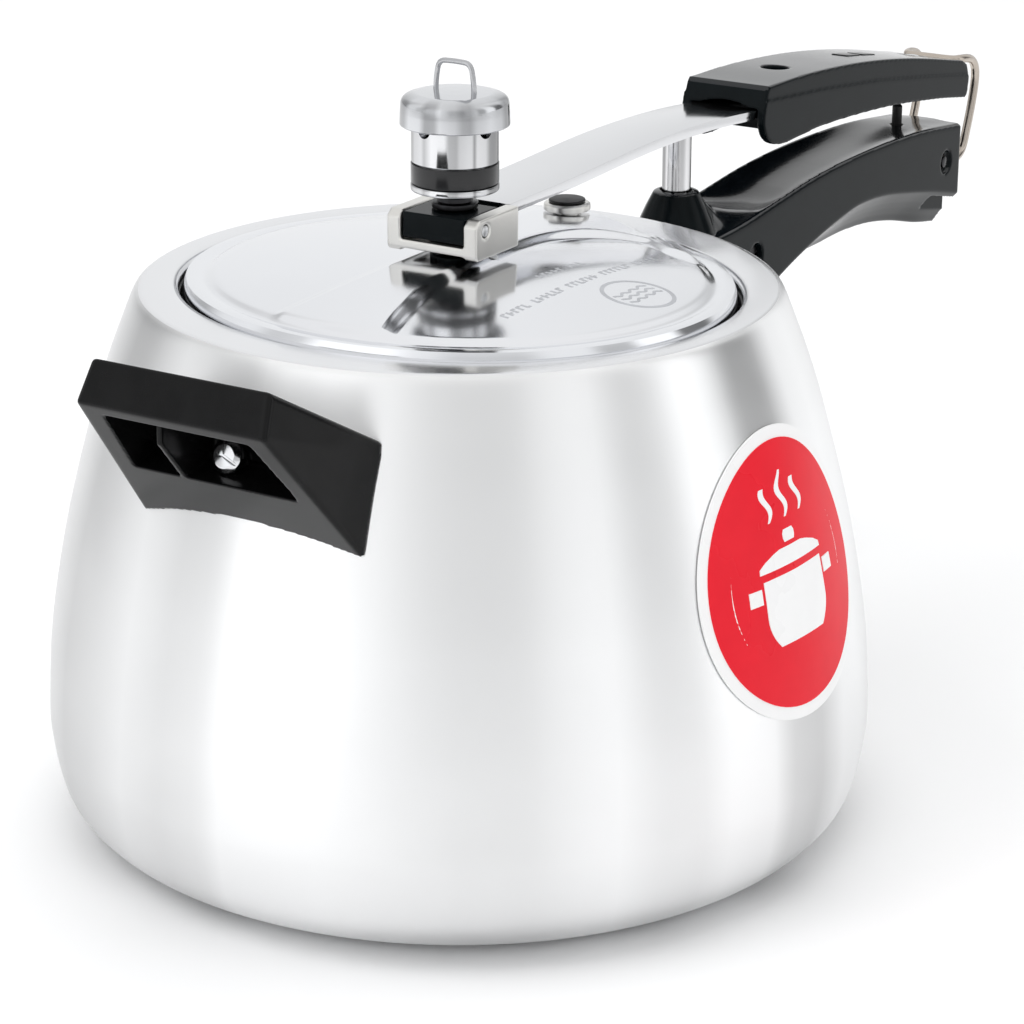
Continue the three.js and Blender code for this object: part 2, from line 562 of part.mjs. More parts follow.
const lidGroup = new THREE.Group();
place(lidGroup, 'lid', lid(), aluminium);
place(lidGroup, 'gasket', gasket(), rubber);
place(lidGroup, 'pivot_block', pivotBlock(), phenolic);
place(lidGroup, 'vent_tube', ventTube(), steel);
place(lidGroup, 'vent_tube_washer', ring([[5.3, 157.9], [8.6, 157.9], [8.6, 159.3], [5.3, 159.3]], 24)
  .translate([TUBE_X, 0, 0]), steel);
place(lidGroup, 'vent_tube_nut', hexNut(TUBE_X, 15, 5.3, 152, 157.6), steel);
place(lidGroup, 'safety_valve_body', valveBody(), steel);
place(lidGroup, 'safety_valve_cap', turned([[0, valveSeat + 2.5], [5.4, valveSeat + 2.5], [5.2, valveSeat + 3.1],
  [0, valveSeat + 3.3]], 24, VALVE_X), rubber);
place(lidGroup, 'safety_valve_nut', hexNut(VALVE_X, 12, 4.3, valveUnder - 3.4, valveUnder), steel);

const weight = new THREE.Group();
place(weight, 'weight_needle', turned([[0, 188.8], [3, 192], [3, 203.2], [0, 203.2]], 20, TUBE_X), steel);
place(weight, 'weight_body', weightBody(), steel);
place(weight, 'weight_band', ring([[11.2, 183.7], [12.15, 183.7], [12.15, 189.2], [11.2, 189.2]], 36)
  .translate([TUBE_X, 0, 0]), rubber);
place(weight, 'weight_cap', weightCap(), steel);
place(weight, 'weight_lift_loop', weightLoop(), steel);

cooker.add(pot, latch, lever, lidGroup, weight);

export default cooker;
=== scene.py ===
"""Looks of an inner-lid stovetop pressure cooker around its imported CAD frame. Lengths in mm until a mesh is made."""
import math
import random

import bmesh
import bpy
import numpy as np
from mathutils import Matrix, Vector


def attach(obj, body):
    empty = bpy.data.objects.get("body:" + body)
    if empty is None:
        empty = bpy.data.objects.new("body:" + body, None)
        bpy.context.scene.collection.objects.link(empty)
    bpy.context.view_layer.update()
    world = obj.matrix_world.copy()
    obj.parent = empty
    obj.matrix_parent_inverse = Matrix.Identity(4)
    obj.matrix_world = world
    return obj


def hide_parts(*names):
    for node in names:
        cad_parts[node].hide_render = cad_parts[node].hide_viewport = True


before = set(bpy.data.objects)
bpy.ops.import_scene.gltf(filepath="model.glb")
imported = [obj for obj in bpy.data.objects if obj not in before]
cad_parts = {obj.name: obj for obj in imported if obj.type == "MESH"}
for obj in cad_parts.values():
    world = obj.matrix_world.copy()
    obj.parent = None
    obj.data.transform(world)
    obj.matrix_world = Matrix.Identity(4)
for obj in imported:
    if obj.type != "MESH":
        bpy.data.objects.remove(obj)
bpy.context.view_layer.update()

MM = 0.001
TAU = 2 * math.pi

# -------- driving sizes, as in the CAD
WALL = 3.25
RIM_Z, RIM_R = 155.0, 89.2
MOUTH_X, MOUTH_Y = 72.5, 79.8
LID_X, LID_Y = 76.5, 83.8
FLANGE_Z, BEAD_Z, VALLEY_Z, RIDGE_Z = 148.1, 156.2, 156.0, 164.0
STEP, STEP_WIDTH = 1.3, 5.0
TUBE_X, VALVE_X = -2.0, 58.0
PIN_X, PIN_Z = -9.0, 173.0
POST_X, LATCH_X, LATCH_Z, LATCH_Y = 123.0, 289.0, 131.5, 10.4
SCREW_X = (186.0, 287.0)
BOLT_X, BOLT_Z = 150.0, 129.5
PEG_X, PEG_Z = 278.0, 142.4
STUD_AT = (math.pi, 131.0)        # azimuth and height
LID_GRIP, BODY_GRIP = 14.6, 14.2
POT_SIDE = [(85, 0), (97.5, 1), (103.3, 3), (109.1, 7), (113.9, 14), (116.6, 27), (116.9, 37),
            (115.2, 60), (109.8, 90), (102, 120), (97.2, 135), (93.4, 145)]


# -------- curves
def spline(points, count):
    """A Catmull-Rom curve through 2-D or 3-D points."""
    p = np.array(points, float)
    p = np.vstack([2 * p[0] - p[1], p, 2 * p[-1] - p[-2]])
    out = []
    spans = len(p) - 3
    for k in range(count):
        t = k / (count - 1) * spans
        i = min(int(t), spans - 1)
        u = t - i
        a, b, c, d = p[i:i + 4]
        out.append(0.5 * (2 * b + (c - a) * u + (2 * a - 5 * b + 4 * c - d) * u ** 2
                          + (3 * b - a - 3 * c + d) * u ** 3))
    return np.array(out)


def on_line(line, x):
    """Height of a line of (x, z) at x."""
    return float(np.interp(x, [p[0] for p in line], [p[1] for p in line]))


def smoothstep(x, a, b):
    t = np.clip((np.asarray(x, float) - a) / (b - a), 0, 1)
    return t * t * (3 - 2 * t)


def rounded(points, closed=False, steps=4):
    """A polyline of (r, z, radius) with its corners rounded."""
    pts = [(p[0], p[1], p[2] if len(p) > 2 else 0) for p in points]
    out = []
    n = len(pts)
    for i, (x, z, rad) in enumerate(pts):
        if rad <= 0 or (not closed and i in (0, n - 1)):
            out.append((x, z))
            continue
        here = np.array((x, z))
        before, after = np.array(pts[i - 1][:2]), np.array(pts[(i + 1) % n][:2])
        u, v = before - here, after - here
        lu, lv = np.linalg.norm(u), np.linalg.norm(v)
        u, v = u / lu, v / lv
        half = math.acos(max(-1, min(1, float(u @ v)))) / 2
        reach = min(rad / max(math.tan(half), 1e-6), 0.49 * lu, 0.49 * lv)
        for k in range(steps + 1):
            t = k / steps
            a, b = here + u * reach, here + v * reach
            out.append(tuple((1 - t) ** 2 * a + 2 * t * (1 - t) * here + t * t * b))
    return out


# -------- meshes
def new_object(name, data):
    obj = bpy.data.objects.new(name, data)
    bpy.context.scene.collection.objects.link(obj)
    return obj


def repair(mesh, step):
    """One bmesh step, then normals that face outwards."""
    bm = bmesh.new()
    bm.from_mesh(mesh)
    step(bm)
    bmesh.ops.recalc_face_normals(bm, faces=bm.faces)
    bm.to_mesh(mesh)
    bm.free()


def raw_mesh(name, verts, faces):
    mesh = bpy.data.meshes.new(name)
    mesh.from_pydata([tuple(float(c) * MM for c in v) for v in verts], [], faces)
    mesh.update()
    repair(mesh, lambda bm: bmesh.ops.remove_doubles(bm, verts=bm.verts, dist=1e-6))
    return new_object(name, mesh)


def grid_faces(rows, cols, closed=False):
    """Faces between rings of vertices; closed joins the last ring to the first."""
    faces = []
    for i in range(rows if closed else rows - 1):
        for j in range(cols):
            a, b = i * cols + j, i * cols + (j + 1) % cols
            c, d = (i + 1) % rows * cols + (j + 1) % cols, (i + 1) % rows * cols + j
            faces.append((a, b, c, d))
    return faces


def close_ends(obj):
    repair(obj.data, lambda bm: bmesh.ops.holes_fill(bm, edges=[e for e in bm.edges if e.is_boundary]))
    return obj


def turned(name, x, segments, profile, closed=False, steps=4):
    """A turned piece that stands at x, from (r, z, corner radius); a closed profile makes a ring."""
    profile = rounded(profile, closed, steps)
    turns = [TAU * j / segments for j in range(segments)]
    verts = [(x + r * math.cos(t), r * math.sin(t), z) for r, z in profile for t in turns]
    return raw_mesh(name, verts, grid_faces(len(profile), segments, closed))


def turned_ring(name, x, segments, profile):
    return turned(name, x, segments, profile, True)


def tube(name, path, radius, sides):
    """A round wire along a dense path."""
    p = np.array(path, float)
    tangent = np.gradient(p, axis=0)
    tangent /= np.linalg.norm(tangent, axis=1)[:, None]
    normal = np.cross(tangent[0], (0.3, 0.9, 0.2))
    rings = []
    for point, t in zip(p, tangent):
        normal = normal - t * (normal @ t)
        normal /= np.linalg.norm(normal)
        side = np.cross(t, normal)
        rings.append([point + radius * (math.cos(a) * normal + math.sin(a) * side)
                      for a in np.arange(sides) * TAU / sides])
    return loft(name, rings, (p[0], p[-1]))


def loft(name, rings, middles=None):
    """A closed skin through rings of equal length; both ends close on their middles."""
    n, count = len(rings), len(rings[0])
    verts = [v for ring in rings for v in ring]
    verts += middles or (np.mean(rings[0], axis=0), np.mean(rings[-1], axis=0))
    faces = grid_faces(n, count)
    faces += [(j, (j + 1) % count, n * count) for j in range(count)]
    faces += [((n - 1) * count + (j + 1) % count, (n - 1) * count + j, n * count + 1) for j in range(count)]
    return raw_mesh(name, verts, faces)


def slab(name, outline, half_width, middle=0.0):
    """A side view outline of (x, z), extruded across the handle."""
    n = len(outline)
    verts = [(x, middle + s * half_width, z) for s in (-1, 1) for x, z in outline]
    faces = [tuple(range(n)), tuple(range(2 * n - 1, n - 1, -1))]
    faces += [(j, (j + 1) % n, n + (j + 1) % n, n + j) for j in range(n)]
    return raw_mesh(name, verts, faces)


def block(name, x0, x1, y0, y1, z0, z1):
    return slab(name, [(x0, z0), (x1, z0), (x1, z1), (x0, z1)], (y1 - y0) / 2, (y0 + y1) / 2)


def rod(name, start, end, radius, sides=40):
    """A plain cylinder between two points."""
    a, b = np.array(start, float), np.array(end, float)
    t = (b - a) / np.linalg.norm(b - a)
    u = np.cross(t, (0.31, 0.2, 0.93))
    u /= np.linalg.norm(u)
    v = np.cross(t, u)
    ring = [radius * (math.cos(k) * u + math.sin(k) * v) for k in np.arange(sides) * TAU / sides]
    return loft(name, [[a + r for r in ring], [b + r for r in ring]])


def upright(name, x, z0, z1, radius):
    return rod(name, (x, 0, z0), (x, 0, z1), radius)


def crosswise(name, x, z, y0, y1, radius):
    return rod(name, (x, y0, z), (x, y1, z), radius)


def bake(obj):
    """Applies the modifiers."""
    bpy.context.view_layer.update()
    graph = bpy.context.evaluated_depsgraph_get()
    mesh = bpy.data.meshes.new_from_object(obj.evaluated_get(graph), depsgraph=graph)
    old = obj.data
    obj.modifiers.clear()
    obj.data = mesh
    bpy.data.meshes.remove(old)
    return obj


def discard(*objs):
    for o in objs:
        mesh = o.data
        bpy.data.objects.remove(o)
        bpy.data.meshes.remove(mesh)


def combine(obj, others, operation="DIFFERENCE"):
    for other in others:
        m = obj.modifiers.new("cut", "BOOLEAN")
        m.operation, m.object, m.solver = operation, other, "EXACT"
    bake(obj)
    discard(*others)


def carve(obj, cutters):
    """Takes away one cutter at a time."""
    for cutter in cutters:
        combine(obj, [cutter])


def soften(obj, voxel, rounds):
    """Rounds every edge a little, as moulding or pressing does."""
    m = obj.modifiers.new("remesh", "REMESH")
    m.mode, m.voxel_size = "VOXEL", voxel * MM
    s = obj.modifiers.new("smooth", "SMOOTH")
    s.factor, s.iterations = 0.5, rounds
    bake(obj)


def bevelled(obj, width, segments=3, angle=30):
    m = obj.modifiers.new("bevel", "BEVEL")
    m.width, m.segments, m.limit_method = width * MM, segments, "ANGLE"
    m.angle_limit = math.radians(angle)
    return bake(obj)


def join(name, objs):
    """One object from several."""
    bm = bmesh.new()
    for o in objs:
        bm.from_mesh(o.data)
    mesh = bpy.data.meshes.new(name)
    bm.to_mesh(mesh)
    bm.free()
    discard(*objs)
    return new_object(name, mesh)


def finish(obj, body, material, replaces=(), sharp=40):
    """Smooth shading with edges over `sharp` degrees kept, one material, and the frame's labels."""
    for polygon in obj.data.polygons:
        polygon.use_smooth = True
    if sharp:
        obj.data.set_sharp_from_angle(angle=math.radians(sharp))
    obj.data.materials.clear()
    obj.data.materials.append(material)
    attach(obj, body)
    if replaces:
        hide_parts(*replaces)


# -------- materials
FRONT = -147.4                    # degrees round the pot from which it is seen


class Nodes:
    """A node tree with helpers; every operand is a socket, a number or a colour."""

    def __init__(self, tree):
        self.tree = tree

    def node(self, kind, inputs=None, **values):
        n = self.tree.nodes.new(kind)
        for key, value in values.items():
            setattr(n, key, value)
        for key, value in (inputs or {}).items():
            self.feed(n.inputs[key], value)
        return n

    def feed(self, socket, value):
        if isinstance(value, bpy.types.NodeSocket):
            self.tree.links.new(value, socket)
        else:
            socket.default_value = (*value, 1) if socket.type == "RGBA" else value

    def split(self, vector):
        n = self.node("ShaderNodeSeparateXYZ", {"Vector": vector})
        return n.outputs["X"], n.outputs["Y"], n.outputs["Z"]

    def spread(self, value, low, high, from_low=0.3, from_high=0.7):
        ends = {"From Min": from_low, "From Max": from_high, "To Min": low, "To Max": high}
        return self.node("ShaderNodeMapRange", {"Value": value, **ends}).outputs["Result"]

    def ramp(self, value, stops, interpolation="LINEAR"):
        n = self.node("ShaderNodeValToRGB", {"Fac": value})
        ramp = n.color_ramp
        ramp.interpolation = interpolation
        while len(ramp.elements) < len(stops):
            ramp.elements.new(0.5)
        for element, (at, color) in zip(ramp.elements, stops):
            element.position, element.color = at, (*color, 1)
        return n.outputs["Color"]

    def math(self, operation, a, b):
        return self.node("ShaderNodeMath", {0: a, 1: b}, operation=operation).outputs[0]

    def mix(self, share, a, b, blend="MIX"):
        n = self.node("ShaderNodeMix", {0: share, 6: a, 7: b}, data_type="RGBA", blend_type=blend)
        return n.outputs[2]

    def around(self, x, y):
        """0 to 1 round the upright axis, from x and y."""
        return self.spread(self.math("ARCTAN2", y, x), 0, 1, -math.pi, math.pi)


class Shader(Nodes):
    """A Principled material with procedural detail."""

    def __init__(self, name, color, metallic, roughness, **sockets):
        self.material = bpy.data.materials.new(name)
        self.material.use_nodes = True
        super().__init__(self.material.node_tree)
        self.bsdf = self.tree.nodes["Principled BSDF"]
        for socket, value in {"Base_Color": color, "Metallic": metallic, "Roughness": roughness, **sockets}.items():
            self.feed(self.bsdf.inputs[socket.replace("_", " ")], value)
        self.place = self.node("ShaderNodeTexCoord").outputs["Object"]
        self.normal = None

    def noise(self, scale, detail, stretch=None, rough=0.5):
        place = self.place
        if stretch:
            place = self.node("ShaderNodeMapping", {"Vector": place, "Scale": stretch}).outputs["Vector"]
        inputs = {"Vector": place, "Scale": scale, "Detail": detail, "Roughness": rough}
        return self.node("ShaderNodeTexNoise", inputs).outputs["Fac"]

    def streaks(self, x, y, levels, tint):
        """Upright streaks of painted reflection, set out round the pot from the front, from (degrees left or right of
        the front, brightness).
        """
        stops = sorted(((turn + FRONT + 180) % 360 / 360, tuple(level * c for c in tint)) for turn, level in levels)
        return self.ramp(self.around(x, y), [(0.0, stops[0][1])] + stops + [(1.0, stops[0][1])])

    def bump(self, height, strength, distance):
        n = self.node("ShaderNodeBump", {"Height": height, "Strength": strength, "Distance": distance * MM})
        if self.normal:
            self.feed(n.inputs["Normal"], self.normal)
        self.normal = n.outputs["Normal"]
        self.feed(self.bsdf.inputs["Normal"], self.normal)

    def tool_lines(self, stretch, strength=0.12, distance=0.05):
        self.bump(self.noise(1.0, 4, stretch, 0.6), strength, distance)

    def roughness(self, value):
        self.feed(self.bsdf.inputs["Roughness"], value)

    def color(self, value):
        self.feed(self.bsdf.inputs["Base Color"], value)


def metal(name, color, rough, spread, lines, tint=0.03):
    """Polished or satin metal: uneven gloss, faint tint and fine tool lines."""
    s = Shader(name, color, 1.0, rough)
    s.roughness(s.spread(s.noise(38, 3), max(rough - spread, 0.02), rough + spread))
    low = tuple(c * (1 - tint) for c in color)
    s.color(s.ramp(s.noise(17, 4), [(0.35, low), (0.65, color)]))
    s.tool_lines(lines)
    s.bump(s.noise(900, 2), 0.03, 0.02)
    return s.material


def plastic(name, color, rough, peel, tint=0.35, **sockets):
    """Moulded phenolic or rubber: orange peel, handled patches and a faint mottle."""
    s = Shader(name, color, 0.0, rough, **sockets)
    s.roughness(s.spread(s.noise(26, 4), rough - 0.05, rough + 0.05))
    lighter = tuple(c * (1 + tint) + 0.001 for c in color)
    s.color(s.ramp(s.noise(140, 5), [(0.35, color), (0.7, lighter)]))
    s.bump(s.noise(420, 3), peel, 0.04)
    s.bump(s.noise(2600, 2), peel * 0.5, 0.01)
    return s.material


def spun_aluminium(levels):
    """Satin wall: fine turned lines, soft upright streaks of painted reflection in its colour, and painted shade
    darkening it towards the foot.
    """
    s = Shader("satin_aluminium", (0.9, 0.9, 0.9), 1.0, 0.34, Anisotropic=0.8, Anisotropic_Rotation=0.25)
    x, y, z = s.split(s.place)
    # painted shade: the wall's colour darkens towards the foot
    painted_foot_shade = s.spread(z, 0.85, 1.0, 0.0, 0.085)
    s.color(s.mix(1, s.streaks(x, y, levels, (0.994, 0.997, 1.0)), painted_foot_shade, "MULTIPLY"))
    s.roughness(s.spread(s.noise(30, 3), 0.31, 0.37))
    s.tool_lines((3, 3, 2600))
    s.bump(s.noise(900, 2), 0.03, 0.02)
    tangent = s.node("ShaderNodeTangent", direction_type="RADIAL", axis="Z")
    s.feed(s.bsdf.inputs["Tangent"], tangent.outputs["Tangent"])
    return s.material


def reflection_painted_steel(name, color, rough, axis_x, levels, plain_radius=0.1):
    """Turned steel with light and dark upright streaks of painted reflection in its colour, plain near its axis."""
    s = Shader(name, color, 1.0, rough)
    x, y, _ = s.split(s.place)
    x = s.math("SUBTRACT", x, axis_x * MM)
    flat = s.node("ShaderNodeCombineXYZ", {"X": x, "Y": y})
    radius = s.node("ShaderNodeVectorMath", {0: flat.outputs[0]}, operation="LENGTH")
    share = s.spread(radius.outputs["Value"], 0, 1, plain_radius * 0.7 * MM, plain_radius * MM)
    s.color(s.mix(share, color, s.streaks(x, y, levels, color)))
    s.roughness(s.spread(s.noise(60, 3), rough - 0.03, rough + 0.03))
    s.tool_lines((8, 8, 2600), 0.1, 0.04)
    return s.material


# painted reflection: brightness of the pot wall's upright streaks, by degrees from the front
ALU = spun_aluminium([
    (-150, 0.9), (-110, 0.86), (-90, 0.8), (-69, 0.6), (-60, 0.72), (-51, 0.86), (-43, 0.8), (-36, 0.87), (-27, 1.0),
    (-18, 1.0), (-9, 0.93), (0, 0.87), (9, 0.86), (16, 0.93), (21, 0.98), (27, 0.9), (33, 0.88), (38, 0.99),
    (46, 0.99), (50, 0.78), (57, 0.7), (64, 0.95), (72, 0.95), (86, 0.82), (110, 0.9), (150, 0.86), (179, 0.92)])
RIM = metal("turned_rim", (0.84, 0.845, 0.86), 0.2, 0.03, lines=(1100, 1100, 40))
INSIDE = metal("satin_inside", (0.8, 0.8, 0.805), 0.38, 0.05, lines=(3, 3, 2200))
MIRROR = metal("polished_lid", (0.85, 0.86, 0.885), 0.12, 0.03, lines=(260, 260, 20), tint=0.02)
# painted reflection: the weight, its cap and the lever post get light and dark upright streaks in their colour, by
# degrees from the front
WEIGHT_STEEL = reflection_painted_steel("turned_weight_steel", (0.78, 0.785, 0.8), 0.1, TUBE_X, [
    (-150, 0.8), (-110, 0.5), (-88, 0.25), (-76, 0.3), (-66, 0.75), (-50, 0.85), (-44, 0.6), (-34, 0.95), (-14, 1.0),
    (-8, 0.55), (2, 0.5), (6, 0.7), (18, 0.8), (23, 0.8), (26, 0.35), (30, 0.85), (44, 0.8), (52, 0.4), (66, 0.3),
    (88, 0.25), (110, 0.6), (140, 0.9), (179, 0.7)])
CAP_STEEL = reflection_painted_steel("weight_cap_steel", (0.68, 0.69, 0.71), 0.12, TUBE_X, [
    (-150, 0.8), (-100, 0.5), (-82, 0.35), (-66, 0.6), (-56, 1.0), (-40, 0.95), (-28, 0.5), (-22, 0.55), (-16, 0.95),
    (0, 0.8), (8, 0.55), (16, 0.5), (24, 0.8), (40, 0.95), (56, 0.8), (66, 0.4), (84, 0.35), (120, 0.8),
    (179, 0.7)], 15.2)
POST_STEEL = reflection_painted_steel("post_steel", (0.8, 0.8, 0.81), 0.12, POST_X, [
    (-150, 0.8), (-90, 0.3), (-60, 0.4), (-46, 0.95), (-12, 1.0), (0, 0.7), (14, 0.55), (24, 0.6), (38, 0.95),
    (52, 0.9), (62, 0.35), (90, 0.3), (130, 0.9), (179, 0.7)])
CHROME = metal("polished_steel", (0.74, 0.745, 0.76), 0.14, 0.03, lines=(120, 900, 120), tint=0.02)
SATIN_STEEL = metal("satin_steel", (0.76, 0.75, 0.72), 0.3, 0.05, lines=(90, 1400, 90))
LOOP_STEEL = metal("loop_steel", (0.5, 0.505, 0.52), 0.16, 0.04, lines=(300, 300, 300), tint=0.06)
TURNED = metal("turned_steel", (0.8, 0.805, 0.815), 0.12, 0.03, lines=(8, 8, 2600), tint=0.02)
WIRE = metal("steel_wire", (0.55, 0.49, 0.43), 0.22, 0.06, lines=(400, 400, 400), tint=0.1)
PLATED = metal("plated_steel", (0.68, 0.69, 0.7), 0.26, 0.06, lines=(500, 500, 900), tint=0.06)
THREAD = metal("blackened_thread", (0.045, 0.045, 0.048), 0.3, 0.08, lines=(60, 60, 60), tint=0.3)
PHENOLIC = plastic("black_phenolic", (0.0025, 0.0042, 0.005), 0.16, 0.04, Specular_IOR_Level=0.08)
# a lit copy of the black phenolic for the handles' upward faces, brighter than the sides: painted light
PHENOLIC_PAINTED_LIT = plastic("black_phenolic_painted_lit_top", (0.003, 0.0045, 0.006), 0.14, 0.04, Specular_IOR_Level=0.5)
PHENOLIC_SATIN = plastic("black_phenolic_satin", (0.004, 0.004, 0.0042), 0.2, 0.05, Specular_IOR_Level=0.16)
RUBBER = plastic("black_rubber", (0.008, 0.008, 0.0085), 0.42, 0.1, Specular_IOR_Level=0.3)
GLOSS_BLACK = plastic("black_band", (0.01, 0.01, 0.011), 0.16, 0.02)
RED = plastic("red_label_print", (0.8, 0.011, 0.026), 0.3, 0.02, tint=0.04, Specular_IOR_Level=0.15)
WHITE = plastic("white_label_print", (0.92, 0.92, 0.92), 0.3, 0.02, tint=0.02, Specular_IOR_Level=0.3)
ETCH = plastic("etched_marks", (0.36, 0.37, 0.39), 0.5, 0.05, tint=0.2)


# -------- pot
SIDE = spline(POT_SIDE, 90)
SHOULDER = [(91.75, 149.2), (90.7, 151.7), (89.95, 153.2), (87.2, 155)]     # above the side's last point


def pot_radius(z):
    return float(np.interp(z, SIDE[:, 1], SIDE[:, 0]))


def shoulder_radius(z):
    points = POT_SIDE[-1:] + SHOULDER
    return float(np.interp(z, [p[1] for p in points], [p[0] for p in points]))


def pot_rings():
    """Rings from the middle of the base, up the outside, over the rim and down the inside.

    Each is (share, radius, growth, z), a blend from a circle of that radius to the grown oval mouth.
    """
    foot = (0.01, 0.0), (30, 0), (70, 0), (80, 0)
    shoulder = [*SIDE[-2:], *SHOULDER[:3], (89.2, 154.2), (88.2, 154.8), SHOULDER[3], (RIM_R - 3, 155)]
    rings = [(0, r, 0, z) for r, z in [*foot, *SIDE, *spline(shoulder, 60)[8:]]]
    for share, z in ((0.22, -0.05), (0.42, -0.14), (0.62, -0.3), (0.8, -0.5), (0.9, -0.7)):
        rings.append((share, RIM_R - 3, 0, RIM_Z + z))
    for out, z in ((1.3, -0.9), (0.55, -1.25), (0.12, -1.8), (0, -2.3), (0.12, -2.75), (0.5, -3.15), (1.2, -3.25)):
        rings.append((1, 0, out, RIM_Z + z))
    rings += [(share, RIM_R - WALL, 0, RIM_Z - WALL) for share in (0.75, 0.5, 0.25, 0)]
    inside = [(r - WALL, z) for r, z in SIDE[::-1] if z > 9]
    floor = (102, 6), (97, 4.4), (88, 4), (60, 4), (30, 4), (0.01, 4)
    return rings + [(0, r, 0, z) for r, z in [*inside, *floor]]


def build_pot():
    rings = pot_rings()
    turns = [(math.cos(TAU * j / 256), math.sin(TAU * j / 256)) for j in range(256)]
    verts = [((1 - share) * r * c + share * ((MOUTH_X + out) * c),
              (1 - share) * r * s + share * ((MOUTH_Y + out) * s), z) for share, r, out, z in rings for c, s in turns]
    pot = raw_mesh("pot", verts, grid_faces(len(rings), len(turns)))
    finish(pot, "pot", ALU, ["pot_body"], sharp=0)
    pot.data.materials.append(RIM)
    pot.data.materials.append(INSIDE)
    for polygon in pot.data.polygons:
        x, y, z = polygon.center / MM
        r = math.hypot(x, y)
        if z > RIM_Z - 3.3 and r < RIM_R - 0.9:
            polygon.material_index = 1
        elif z > 2 and r < (pot_radius(z) if z < POT_SIDE[-1][1] else shoulder_radius(z)) - 1.5:
            polygon.material_index = 2


def on_wall(u, v, lift):
    """A point on the pot's side at azimuth u (radians) and height v."""
    slope = (pot_radius(v + 1) - pot_radius(v - 1)) / 2
    n = 1 / math.hypot(1, slope)
    r = pot_radius(v) + lift * n
    return r * math.cos(u), r * math.sin(u), v - lift * slope * n


LABEL_AT = (-1.63, 92.8)          # azimuth and height of its middle
LABEL_HALF = (0.345, 38.4)        # half angle and half height
LABEL_RADIUS = 112                # turns widths into angles
PRINT_FOOT, ICON_LIFT = 0.3, 0.86    # layers start above the wall and end in front of it


def label_disc(name, shrink, lift, material, replaces=()):
    """An oval layer of the label, shrunk by some mm."""
    half_u, half_v = LABEL_HALF[0] - shrink / LABEL_RADIUS, LABEL_HALF[1] - shrink
    angles = [TAU * j / 96 for j in range(96)]
    rings = []
    for height, shares in ((PRINT_FOOT, (0.05, 0.35, 0.7, 1.0)), (lift, (1.0, 0.7, 0.35, 0.05))):
        for k in shares:
            rings.append([on_wall(LABEL_AT[0] + k * half_u * math.cos(t), LABEL_AT[1] + k * half_v * math.sin(t),
                                  height) for t in angles])
    finish(loft(name, rings), "pot", material, replaces)


def label_patch(name, rows):
    """A white printed shape given as rows of (height, left, right) in mm from the label's middle."""
    rings = []
    across = range(15)
    for v, left, right in rows:
        ring = []
        for height, columns in ((PRINT_FOOT, across), (ICON_LIFT, across[::-1])):
            for c in columns:
                u = LABEL_AT[0] + (left + (right - left) * c / across[-1]) / LABEL_RADIUS
                ring.append(on_wall(u, LABEL_AT[1] + v, height))
        rings.append(ring)
    finish(loft(f"label_icon_{name}", rings), "pot", WHITE)


def build_label():
    label_disc("label_border", 0, 0.72, WHITE, ["side_label"])
    label_disc("label_field", 3.4, 0.8, RED)
    pot = [(v, 14.5 * (1 - 0.28 * max(0, (-v - 9) / 8) ** 2)) for v in np.linspace(-17, 1, 14)]
    lid = (3, 15.5), (4.4, 15.3), (5.8, 12.5), (7, 8.5), (7.6, 5.5)
    knob = (8.8, 2.4), (9.8, 2.9), (11, 2.9), (12, 2.2)
    for name, rows in (("pot", pot), ("lid", lid), ("knob", knob)):
        label_patch(name, [(v, -w, w) for v, w in rows])
    for name, middle in (("a", -18.3), ("b", 18.3)):
        label_patch(f"grip_{name}", [(v, middle - 2.6, middle + 2.6) for v in np.linspace(-4.4, -0.4, 5)])
    for k, (off, top) in enumerate(((-8, 24), (0, 27), (8, 24))):
        rows = []
        for v in np.linspace(15, top, 16):
            c = off + 1.5 * math.sin((v - 15) * 0.62)
            w = max(1.25 * math.sin(math.pi * (0.12 + 0.76 * (v - 15) / 12)), 0.35)
            rows.append((v, c - w, c + w))
        label_patch(f"steam_{k + 1}", rows)


# -------- lid
def lerp(a, b, t):
    return a + (b - a) * t


def ridge_height(x):
    """The ridge stays high in front of the tube, under the safety valve, then drops to the bead."""
    x = np.asarray(x, float)
    return lerp(RIDGE_Z - 1.8 * (x / VALVE_X) ** 2, BEAD_Z, smoothstep(x, VALVE_X + 3, VALVE_X + 11))


def smooth_min(a, b, reach):
    h = np.clip(0.5 + 0.5 * (b - a) / reach, 0, 1)
    return lerp(b, a, h) - reach * h * (1 - h)


def lid_height(x, y):
    """Top of the lid: a dome with two D-shaped lobes stepped down beside a ridge, a groove and a bead."""
    x, y = np.asarray(x, float), np.asarray(y, float)
    rho = np.maximum(np.hypot(x / LID_X, y / LID_Y), 1e-6)
    across = np.abs(y)
    half = np.where(x < 0, 6.5 + 8.5 * (x / 63) ** 2, 7.5 + 16 * (x / 52) ** 4)
    lobe_edge = 0.95 - 0.18 * smoothstep(x / (LID_X * rho), 0.55, 0.8)
    in_lobe = smoothstep(smooth_min(across - half - STEP_WIDTH / 2, (lobe_edge - rho) * 78, 6),
                         -STEP_WIDTH / 2, STEP_WIDTH / 2)
    dome = RIDGE_Z - 5.4 * (rho / 0.84) ** 2.2
    front = lerp(np.maximum(dome, ridge_height(x)), dome, smoothstep(across, 6, 27))
    formed = lerp(np.where(x < 0, dome, front), dome - STEP, in_lobe)
    bead = (BEAD_Z - VALLEY_Z) * np.clip(1 - ((rho - 0.9) / 0.032) ** 2, 0, 1)
    return lerp(formed, VALLEY_Z, smoothstep(rho, 0.825, 0.87)) + bead


